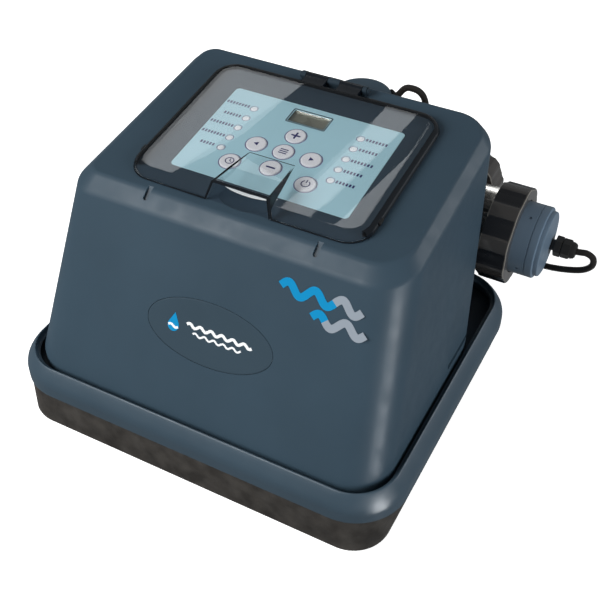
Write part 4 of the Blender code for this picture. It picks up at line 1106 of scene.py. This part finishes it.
def tab_solid(thin):
    """Wedge of the finger tab: its outside when thin is 0, or else the hollow that leaves a skin thin wide."""
    rear_top_w = 7.6
    slope = (16.67 - rear_top_w) / 51.9
    if thin == 0.0:
        front_v, low_v, low_w = -76.9, -85.2, LID_LOW_W + 0.25
    else:
        front_v, low_v, low_w = -96.0, -96.0, -1.5
    rear_v = TAB_REAR_V - 1.5 * thin
    top_front = rear_top_w + (TAB_REAR_V - front_v) * slope - thin * 1.02
    top_rear = rear_top_w + (TAB_REAR_V - rear_v) * slope - thin * 1.02
    half_rear = 21.7 - thin
    half_front = 21.7 + (TAB_REAR_V - front_v) * 0.083 - thin
    foot_rear = 24.0 - thin
    foot_front = 24.0 + (TAB_REAR_V - low_v) * 0.125 - thin
    loops = []
    for side in (-1.0, 1.0):
        corners = ((foot_rear, rear_v, low_w), (half_rear, rear_v, top_rear))
        corners += ((half_front, front_v, top_front), (foot_front, low_v, low_w))
        loops.append([(TAB_MID_U + side * half, v, w) for half, v, w in corners])
    return loft("tab", loops, PANEL)


LID_EDGE = ((0.0, LID_LOW_W), (0.15, 2.2), (0.6, 3.6), (1.4, 4.9), (2.7, 6.05), (4.3, 6.95))
LID_EDGE += ((6.2, 7.55), (8.0, 7.86), (9.4, LID_TOP_W))


def darken_lid_sides(lid):
    """Paint shade on the lid's rolled rim at its sides and rear, and on the right side wall of its tab."""
    lid.data.materials.append(LID_PAINTED_SHADE)
    across = PANEL.to_3x3() @ Vector((1.0, 0.0, 0.0))
    rim_width = 4.2
    front_end_v = LID_MID_V - LID_HALF_V + LID_R * 0.55
    for face in lid.data.polygons:
        spot = PANEL.inverted() @ ((face.center - ORIGIN) / MM)
        in_tab = abs(spot.x - TAB_MID_U - 25.0) < 9.0 and -86.0 < spot.y < TAB_REAR_V - 0.5
        over_u = abs(spot.x - LID_MID_U) - (LID_HALF_U - LID_R)
        over_v = abs(spot.y - LID_MID_V) - (LID_HALF_V - LID_R)
        inset = LID_R - math.hypot(max(over_u, 0.0), max(over_v, 0.0))
        in_rim = max(over_u, over_v) >= 0.0 and inset < rim_width and spot.y > front_end_v
        if in_rim or (in_tab and abs(face.normal.dot(across)) > 0.6):
            face.material_index = 1


def make_lid():
    """Clear cover, rolled over along its edge, with a wedge-shaped finger tab and two hinge knuckles."""
    lid = loft("clear_lid_fine", [lid_loop(inset, w) for inset, w in LID_EDGE], PANEL)
    extras = [tab_solid(0.0)]
    for u0, u1 in ((-30.2, -8.2), (4.2, 26.2)):
        extras.append(box("tongue", (u0 + 0.4, 79.0, 2.8), (u1 - 0.4, HINGE_V, 7.2), PANEL))
        extras.append(turned("knuckle", [(3.6, u0), (3.6, u1)], PIVOT, 40))
    combine(lid, extras, "UNION")
    inner = []
    for inset, w in LID_EDGE:
        inner.append(lid_loop(inset + LID_WALL * 0.92, max(w - LID_WALL, -1.0) if w > LID_LOW_W else -1.0))
    cavity = loft("cavity", [inner[0]] + inner[2:], PANEL)
    combine(lid, [cavity, tab_solid(LID_WALL), pin_bore()], "DIFFERENCE")
    stand_for(lid, "clear_lid", edge=0.5, sharp=28.0)
    darken_lid_sides(lid)
    nubs = []
    for side in (-1.0, 1.0):
        spot = PANEL @ Matrix.Translation((LID_MID_U + side * (LID_HALF_U - 0.1), -52.0, 2.4))
        nubs.append(box("part", (-1.1, -3.5, -1.4), (1.1, 3.5, 1.4), spot))
    show(merged("lid_nubs", nubs), "lid", PALETTE["gland_nylon"], "lid_acrylic", edge=0.4)


def pin_bore():
    """Tool for the hinge pin's hole."""
    return turned("bore", [(PIN_R + 0.1, -40.0), (PIN_R + 0.1, 40.0)], PIVOT, 32)


def make_lid_lines():
    """Painted shade: a dark line round the lid's foot, which climbs over the tab's front, and the one along
    the tab's left and rear ridges, where the lid's edges look dark. Each point is (u, v, w, radius)."""
    foot_half = 31.0
    crest_half = 26.0
    front_v = LID_MID_V - LID_HALF_V + 0.2
    rim = []
    for u, v, w in lid_loop(0.35, 0.95):
        if v > LID_MID_V - LID_HALF_V + 1.0 or abs(u - TAB_MID_U) > foot_half:
            rim.append((u, v, w, 0.6))
    climb = [
        (foot_half, front_v, 0.95, 0.8), (29.3, -82.3, 6.0, 1.0), (crest_half + 0.3, -77.3, 15.6, 1.2),
        (crest_half - 1.2, -76.8, 15.9, 1.3),
    ]
    # The outline starts at the front right corner, so its end is the last point left of the tab.
    rim += [(TAB_MID_U - half, v, w, radius) for half, v, w, radius in climb]
    rim += [(TAB_MID_U + half, v, w, radius) for half, v, w, radius in reversed(climb)]
    ridges = [
        (TAB_MID_U - crest_half + 0.3, -76.0, 15.9, 0.7), (TAB_MID_U - 24.0, -52.0, 11.9, 0.95),
        (TAB_MID_U - 22.0, -28.0, 7.9, 0.35), (TAB_MID_U - 21.3, -25.3, 7.5, 0.3),
        (TAB_MID_U + 21.3, -25.3, 7.5, 0.3),
    ]
    routes = []
    # These tubes carry the lid's painted shade.
    for line, closed in ((rim, True), (ridges, False)):
        routes.append(([(place(PANEL @ Vector((u, v, w))), radius) for u, v, w, radius in line], closed))
    lines = tube_curve("lid_painted_shade_lines", 1.0, 3, routes, LID_PAINTED_SHADE)
    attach(lines, "lid")


def make_hinge():
    """Bracket with three eared knuckles, and the pin with its rounded heads."""
    bracket = box("hinge_bracket_fine", (-36.0, 89.0, 0.1), (32.0, 99.5, 1.15), PANEL)
    ears = []
    for u0, u1 in ((-34.6, -30.6), (-7.8, 3.8), (26.6, 30.6)):
        ears.append(box("ear", (u0 + 0.3, 90.5, 0.6), (u1 - 0.3, 97.5, HINGE_W), PANEL))
        ears.append(turned("ear", [(3.8, u0), (3.8, u1)], PIVOT, 40))
    combine(bracket, ears, "UNION")
    combine(bracket, [pin_bore()], "DIFFERENCE")
    stand_for(bracket, "hinge_bracket", PIN_SLATE, edge=0.35)
    head = 3.0
    profile = [(head - 0.8, -36.6), (head, -36.0), (head, -35.0), (PIN_R, -35.0), (PIN_R, 31.0)]
    profile += [(head, 31.0), (head, 32.0), (head - 0.8, 32.6)]
    stand_for(turned("hinge_pin_fine", profile, PIVOT, 40), "hinge_pin", PIN_SLATE)


make_lid()
make_lid_lines()
make_hinge()


# ---- cable hood ----
def hood_loop(inset, z):
    """D-shaped outline whose straight side follows the leaning wall."""
    wall = rear_wall_y(z) + 0.3
    radius = HOOD_R - inset
    points = [(HOOD_X - radius, wall), (HOOD_X + radius, wall)]
    points += arc(radius, radius, 0.0, 180.0, 48, HOOD_X, HOOD_Y)
    return [(*point, z) for point in points]


def make_hood():
    """Rounded hood that the lead goes into, with its outlet hole and grommet."""
    loops = [hood_loop(inset, HOOD_LOW_Z + up) for inset, up in ((3.0, 0.0), (1.0, 1.0), (0.0, 3.0))]
    roll = 4.0
    for inward, up in arc(roll, roll, 0.0, 90.0, 6):
        loops.append(hood_loop(roll - inward, HOOD_TOP_Z - roll + up))
    hood = loft("cable_hood_fine", loops)
    hole = turned("tool", [(LEAD_R + 1.9, 10.0), (LEAD_R + 1.9, 40.0)], OUTLET, 40)
    combine(hood, [hole], "DIFFERENCE")
    stand_for(hood, "cable_hood")
    grommet = [(0.3, -11.0), (1.6, -11.0), (1.6, 0.9), (3.1, 0.9), (3.1, 2.3), (1.4, 4.1), (0.4, 4.1)]
    profile = [(LEAD_R + out, HOOD_R + ahead) for out, ahead in grommet]
    stand_for(turned("hood_grommet_fine", profile, OUTLET, 40, ring=True), "hood_grommet", edge=0.25)


make_hood()


# ---- electrolysis cell ----
def lobe_loop(radius, depth, lobes, z, per_lobe=16):
    """Outline of a ribbed nut: wide lands and grooves with slanted flanks."""
    points = []
    for i in range(lobes * per_lobe):
        turn = i / per_lobe
        part = turn % 1.0
        if part < 0.32:
            low = 0.0
        elif part < 0.5:
            low = (part - 0.32) / 0.18
        elif part < 0.86:
            low = 1.0
        else:
            low = (1.0 - part) / 0.14
        a = 2.0 * math.pi * (turn - 0.15) / lobes
        r = radius - depth * low
        points.append((r * math.cos(a), r * math.sin(a), z))
    return points


def make_cell():
    """Clear tube with thicker necks and two hose spigots."""
    half = [(CELL_NECK_R, CELL_END_X), (CELL_NECK_R, CELL_END_X - 12.0), (CELL_R, CELL_END_X - 14.5)]
    profile = [(radius, -x) for radius, x in half] + half[::-1]
    tube = turned("cell_body_fine", profile, CELL, 96)
    spigots = []
    bores = [turned("bore", [(CELL_BORE_R, -200.0), (CELL_BORE_R, 200.0)], CELL, 96)]
    reach = PORT_NUT_Y0 - CELL_Y
    profile = [(0.0, 10.0), (0.0, reach + 1.0), (4.0, reach + 3.0), (4.0, reach + 14.0)]
    profile = [(PORT_SPIGOT_R + out, y) for out, y in profile]
    for x in PORT_XS.values():
        spot = Matrix.Translation((x, CELL_Y, CELL_Z)) @ ALONG_Y
        spigots.append(turned("spigot", profile, spot, 64))
        bores.append(turned("bore", [(17.5, 5.0), (17.5, 90.0)], spot, 64))
    combine(tube, spigots, "UNION")
    combine(tube, bores, "DIFFERENCE")
    stand_for(tube, "cell_body", edge=0.4)


def make_end_nut(node, side):
    """Ribbed union nut of smoked plastic, with painted shade in its grooves,
    that holds an end piece on the cell.
    """
    x_in = side * NUT_X0
    x_out = side * NUT_X1
    lip = x_out - side * 4.8
    groove = 2.0
    profile = [
        (NUT_R - 1.4, 1.0, x_in), (NUT_R - 0.4, 1.7, x_in + side * 0.4),
        (NUT_R, groove, x_in + side * 1.4), (NUT_R, groove, x_out - side * 1.8),
        (NUT_R - 0.5, 1.8, x_out - side * 0.5), (NUT_R - 1.8, 1.2, x_out), (CAP_R + 1.4, 0.0, x_out),
        (CAP_R + 0.8, 0.0, x_out - side * 0.6), (CAP_R + 0.8, 0.0, lip), (CELL_NECK_R + 0.5, 0.0, lip),
        (CELL_NECK_R + 0.5, 0.0, x_in),
    ]
    loops = [lobe_loop(radius, depth, NUT_LOBES, x) for radius, depth, x in profile]
    nut = loft(node + "_fine", loops, CELL, ring=True)
    ends = (place((x_in, 0, 0)).x, place((x_out, 0, 0)).x)
    stand_for(nut, node, nut_material(node + "_smoke", "X", ends), sharp=24.0)
    # Faces in the grooves take the painted shade.
    nut.data.materials.append(NUT_GROOVE_SHADE)
    for face in nut.data.polygons:
        spot = CELL.inverted() @ ((face.center - ORIGIN) / MM)
        if NUT_R - groove - 0.2 < math.hypot(spot.x, spot.y) < NUT_R - 0.9 and abs(face.normal.x) < 0.2:
            face.material_index = 1


def make_cap():
    """Electrode cap: stepped slate end with a fine groove, four dimples and a spigot inside the tube."""
    spigot = [(0.4, 158.0), (0.4, 163.0), (2.4, 163.0), (2.4, 166.0), (0.4, 166.0), (0.4, CELL_END_X + 0.3)]
    profile = [(CELL_BORE_R - inset, x) for inset, x in spigot]
    profile += [(40.6, CELL_END_X + 0.3), (40.6, NUT_X1 - 5.2)]
    grooved = [(0.0, NUT_X1 - 5.2), (0.0, 199.6), (0.45, 199.8), (0.45, 200.5), (0.0, 200.7)]
    grooved += [(0.0, CAP_X1 - 1.1), (0.4, CAP_X1 - 0.3)]
    profile += [(CAP_R - inset, x) for inset, x in grooved]
    step = [(-1.0, CAP_X1), (0.0, CAP_X1 + 0.4), (0.0, CAP_STEP_X - 1.6)]
    step += [(0.5, CAP_STEP_X - 0.5), (1.6, CAP_STEP_X)]
    profile += [(CAP_STEP_R - inset, x) for inset, x in step]
    cap = turned("cell_cap_fine", profile, CELL, 96)
    dimples = []
    for turn in (20.0, 110.0, 200.0, 290.0):
        out = CELL @ Matrix.Translation((0.0, 0.0, 193.5)) @ Matrix.Rotation(math.radians(turn), 4, "Z")
        out = out @ Matrix.Rotation(math.pi / 2, 4, "Y")
        dimples.append(turned("tool", [(0.3, CAP_R - 1.6), (1.5, CAP_R - 0.9), (1.5, CAP_R + 3.0)], out, 24))
    combine(cap, dimples, "DIFFERENCE")
    stand_for(cap, "cell_cap", CAP_SLATE, sharp=30.0)


def make_port(word, x):
    """Hose port: ribbed nut, and the barbed tail and seal that it clamps."""
    spot = Matrix.Translation((x, CELL_Y, CELL_Z)) @ ALONG_Y
    y0 = PORT_NUT_Y0 - CELL_Y
    y1 = PORT_NUT_Y1 - CELL_Y
    inner = PORT_SPIGOT_R + 4.4
    profile = [(PORT_NUT_R - 1.2, 0.8, y0), (PORT_NUT_R, 1.8, y0 + 1.2)]
    profile += [(PORT_NUT_R, 1.8, y1 - 1.2), (PORT_NUT_R - 1.2, 0.8, y1)]
    profile += [(19.8, 0.0, y1), (19.8, 0.0, y1 - 5.0), (inner, 0.0, y1 - 5.0), (inner, 0.0, y0 + 2.4)]
    profile += [(PORT_SPIGOT_R + 0.6, 0.0, y0 + 1.0), (PORT_SPIGOT_R + 0.6, 0.0, y0)]
    node = "port_nut_" + word
    loops = [lobe_loop(radius, depth, PORT_NUT_LOBES, y) for radius, depth, y in profile]
    nut = loft(node + "_fine", loops, spot, ring=True)
    ends = (place((0, PORT_NUT_Y0, 0)).y, place((0, PORT_NUT_Y1, 0)).y)
    stand_for(nut, node, nut_material(node + "_smoke", "Y", ends), sharp=24.0)

    tail_end = PORT_TAIL_END - CELL_Y
    profile = [(PORT_BORE_R, y0 + 16.2), (25.8, y0 + 16.2), (25.8, y1 - 5.3), (18.6, y1 - 5.3)]
    profile += [(18.6, y1 + 2.0), (19.4, y1 + 6.0), (18.0, y1 + 7.0)]
    profile += [(18.0, tail_end - 4.0), (17.2, tail_end), (PORT_BORE_R, tail_end)]
    tail = turned("port_tail_%s_fine" % word, profile, spot, 64, ring=True)
    stand_for(tail, "port_tail_" + word, edge=0.3)
    profile = [(17.6, y0 + 14.2), (17.6, y0 + 16.0), (22.0, y0 + 16.0), (22.0, y0 + 14.2)]
    seal = turned("port_seal_%s_fine" % word, profile, spot, 64, ring=True)
    stand_for(seal, "port_seal_" + word, edge=0.3)


make_cell()
make_end_nut("union_nut", 1.0)
make_end_nut("end_nut", -1.0)
make_cap()
for port_word, port_x in PORT_XS.items():
    make_port(port_word, port_x)
refine("cap_seal", 0.4)
refine("flow_sensor_plug", 0.5)
refine("electrode_plates", 0.15)
refine("cell_saddle_left", 0.8)
refine("cell_saddle_right", 0.8)


def dome_nut_loop(flats, radius, x, count=60):
    """Between a circle and a hexagon: flats is 0 for round and 1 for six flats."""
    points = []
    for k in range(count):
        a = 2.0 * math.pi * k / count
        part = (a % (math.pi / 3)) - math.pi / 6
        r = radius * (1.0 - flats + flats * math.cos(math.pi / 6) / math.cos(part))
        points.append((r * math.cos(a), r * math.sin(a), x))
    return points


def make_gland():
    """Cable gland: hexagon body, and a hexagon dome nut the lead comes out of."""
    body = turned("gland_body_fine", [(5.4, CAP_STEP_X + 0.1), (5.4, 216.6)], GLAND, 48)
    hexagon = loft("hex", [circle_loop(10.2, 216.0, 6), circle_loop(10.2, 222.6, 6)], GLAND)
    stub = turned("stub", [(6.2, 222.0), (6.2, 229.0)], GLAND, 48)
    combine(body, [hexagon, stub], "UNION")
    bore = turned("bore", [(LEAD_R + 0.3, 214.4), (LEAD_R + 0.3, 240.0)], GLAND, 48)
    combine(body, [bore], "DIFFERENCE")
    stand_for(body, "gland_body", edge=0.5)

    mouth = LEAD_R + 0.35
    profile = [(0.0, 6.5, 222.9), (1.0, 9.2, 222.9), (1.0, 9.6, 223.4), (1.0, 9.6, 230.0), (0.6, 9.2, 230.8)]
    profile += [(0.0, 8.2, 231.2), (0.0, 8.0, 233.4), (0.0, 7.3, 235.2), (0.0, 6.0, 236.2)]
    profile += [(0.0, 4.4, GLAND_END_X), (0.0, mouth, GLAND_END_X), (0.0, mouth, 230.0), (0.0, 6.5, 229.6)]
    loops = [dome_nut_loop(flats, radius, x) for flats, radius, x in profile]
    stand_for(loft("gland_nut_fine", loops, GLAND, ring=True), "gland_nut", edge=0.2, sharp=24.0)


make_gland()

# ---- power parts inside ----
for inner_node in ("transformer", "power_board", "heat_sink", "terminal_block"):
    refine(inner_node, 0.2)


# ---- floor, world and lights ----
def make_floor():
    """Plain pale floor, lit a little by itself so that it stays pale, and not seen in the unit's gloss."""
    half = 12.0
    mat, shader = new_material("floor_paint", (0.86, 0.86, 0.86), 0.7)
    paint = tint(mat, noise(mat, 3.0), (0.85, 0.85, 0.85), (0.88, 0.88, 0.88))
    fill(mat, shader, {"Base Color": paint, "Emission Color": (1.0,) * 4, "Emission Strength": 0.78})
    floor = sheet("floor", [(-half, -half, 0), (half, -half, 0), (half, half, 0), (-half, half, 0)], mat)
    floor.visible_glossy = False
    floor.visible_diffuse = False


def make_world():
    """White behind the unit for the camera, soft grey for its light and reflections."""
    world = bpy.data.worlds.new("studio")
    world.use_nodes = True
    soft = world.node_tree.nodes["Background"]
    fill(world, soft, {"Color": (0.93, 0.97, 1.0, 1.0), "Strength": 0.2})
    white = add_node(world, "ShaderNodeBackground", {"Color": (1.0, 1.0, 1.0, 1.0)})
    seen = add_node(world, "ShaderNodeLightPath").outputs["Is Camera Ray"]
    inputs = {"Fac": seen, 1: soft.outputs["Background"], 2: white.outputs["Background"]}
    mix = add_node(world, "ShaderNodeMixShader", inputs)
    fill(world, world.node_tree.nodes["World Output"], {"Surface": mix.outputs["Shader"]})
    bpy.context.scene.world = world


def soft_box(name, azimuth, elevation, distance, width, height, radiance, colour=(1, 1, 1), gloss=False):
    """Rectangular lamp facing the unit: for its light, or with gloss only for its reflection in the slate.
    Azimuth 0 is in front and 90 to the right; lengths are in metres."""
    lamp = bpy.data.lights.new(name, "AREA")
    lamp.shape = "RECTANGLE"
    lamp.size = width
    lamp.size_y = height
    lamp.energy = radiance * math.pi * width * height
    lamp.color = colour
    obj = put(name, lamp)
    a = math.radians(azimuth)
    e = math.radians(elevation)
    back = Vector((math.sin(a) * math.cos(e), -math.cos(a) * math.cos(e), math.sin(e)))
    obj.location = place((0.0, 0.0, 120.0)) + back * distance
    obj.rotation_euler = (-back).to_track_quat("-Z", "Y").to_euler()
    obj.visible_camera = False
    obj.visible_glossy = gloss
    obj.visible_diffuse = not gloss
    if gloss:
        slate_pieces = ("flange_ring_fine", "housing_shell_fine")
        obj.light_linking.receiver_collection = receivers("slate_only", slate_pieces)


def receivers(name, pieces):
    """Group of the only pieces that a lamp or a card shows on."""
    group = bpy.data.collections.get(name) or bpy.data.collections.new(name)
    for piece in pieces:
        if piece not in group.objects:
            group.objects.link(bpy.data.objects[piece])
    return group


# Corners of the window-like glare on the lid, in panel coordinates.
GLARES = {
    "glare_left": ((-150.0, 100.0), (-19.0, 100.0), (-77.5, -100.0), (-150.0, -100.0)),
    "glare_middle": ((60.5, 100.0), (90.0, 100.0), (53.5, -110.0), (28.0, -110.0)),
    "glare_right": ((115.0, 100.0), (150.0, 100.0), (150.0, -110.0), (74.0, -110.0)),
}


def make_glare_cards(distance=1.6, strength=2.4):
    """Bright cards far behind the unit, each where the photo's viewpoint sees it mirrored in the lid."""
    eye = place(CAMERA_AT)
    normal = (PANEL.to_3x3() @ Vector((0.0, 0.0, 1.0))).normalized()
    mat = bpy.data.materials.new("glare_card")
    mat.use_nodes = True
    light = {"Emission Color": (0.95, 0.98, 1.0, 1.0), "Emission Strength": strength}
    fill(mat, mat.node_tree.nodes["Principled BSDF"], {"Base Color": (0.0, 0.0, 0.0, 1.0), **light})
    for name, corners in GLARES.items():
        verts = []
        for u, v in corners:
            spot = place(PANEL @ Vector((u, v, LID_TOP_W)))
            look = (spot - eye).normalized()
            mirrored = look - normal * (2.0 * look.dot(normal))
            verts.append(spot + mirrored * distance)
        card = sheet(name, verts, mat)
        card.visible_camera = False
        card.visible_diffuse = False
        card.visible_shadow = False
        card.visible_transmission = False
        card.light_linking.receiver_collection = receivers("lid_only", ("clear_lid_fine",))


make_floor()
make_world()
soft_box("key_lamp", -44.0, 30.0, 2.2, 1.4, 1.1, 12.5, (1.0, 0.99, 0.97))
soft_box("right_lamp", 80.0, 15.0, 2.4, 0.9, 1.2, 12.0, (0.97, 0.99, 1.0))
soft_box("rear_lamp", 200.0, 6.0, 2.4, 1.6, 1.0, 3.0)
soft_box("corner_gloss", 67.0, -16.0, 2.2, 0.7, 1.6, 40.0, gloss=True)
soft_box("edge_gloss", -34.0, 49.0, 2.2, 1.1, 0.5, 18.0, gloss=True)
soft_box("right_gloss", 128.0, 24.0, 2.2, 1.0, 0.8, 5.0, gloss=True)
make_glare_cards()
bpy.context.scene.view_settings.view_transform = "Standard"
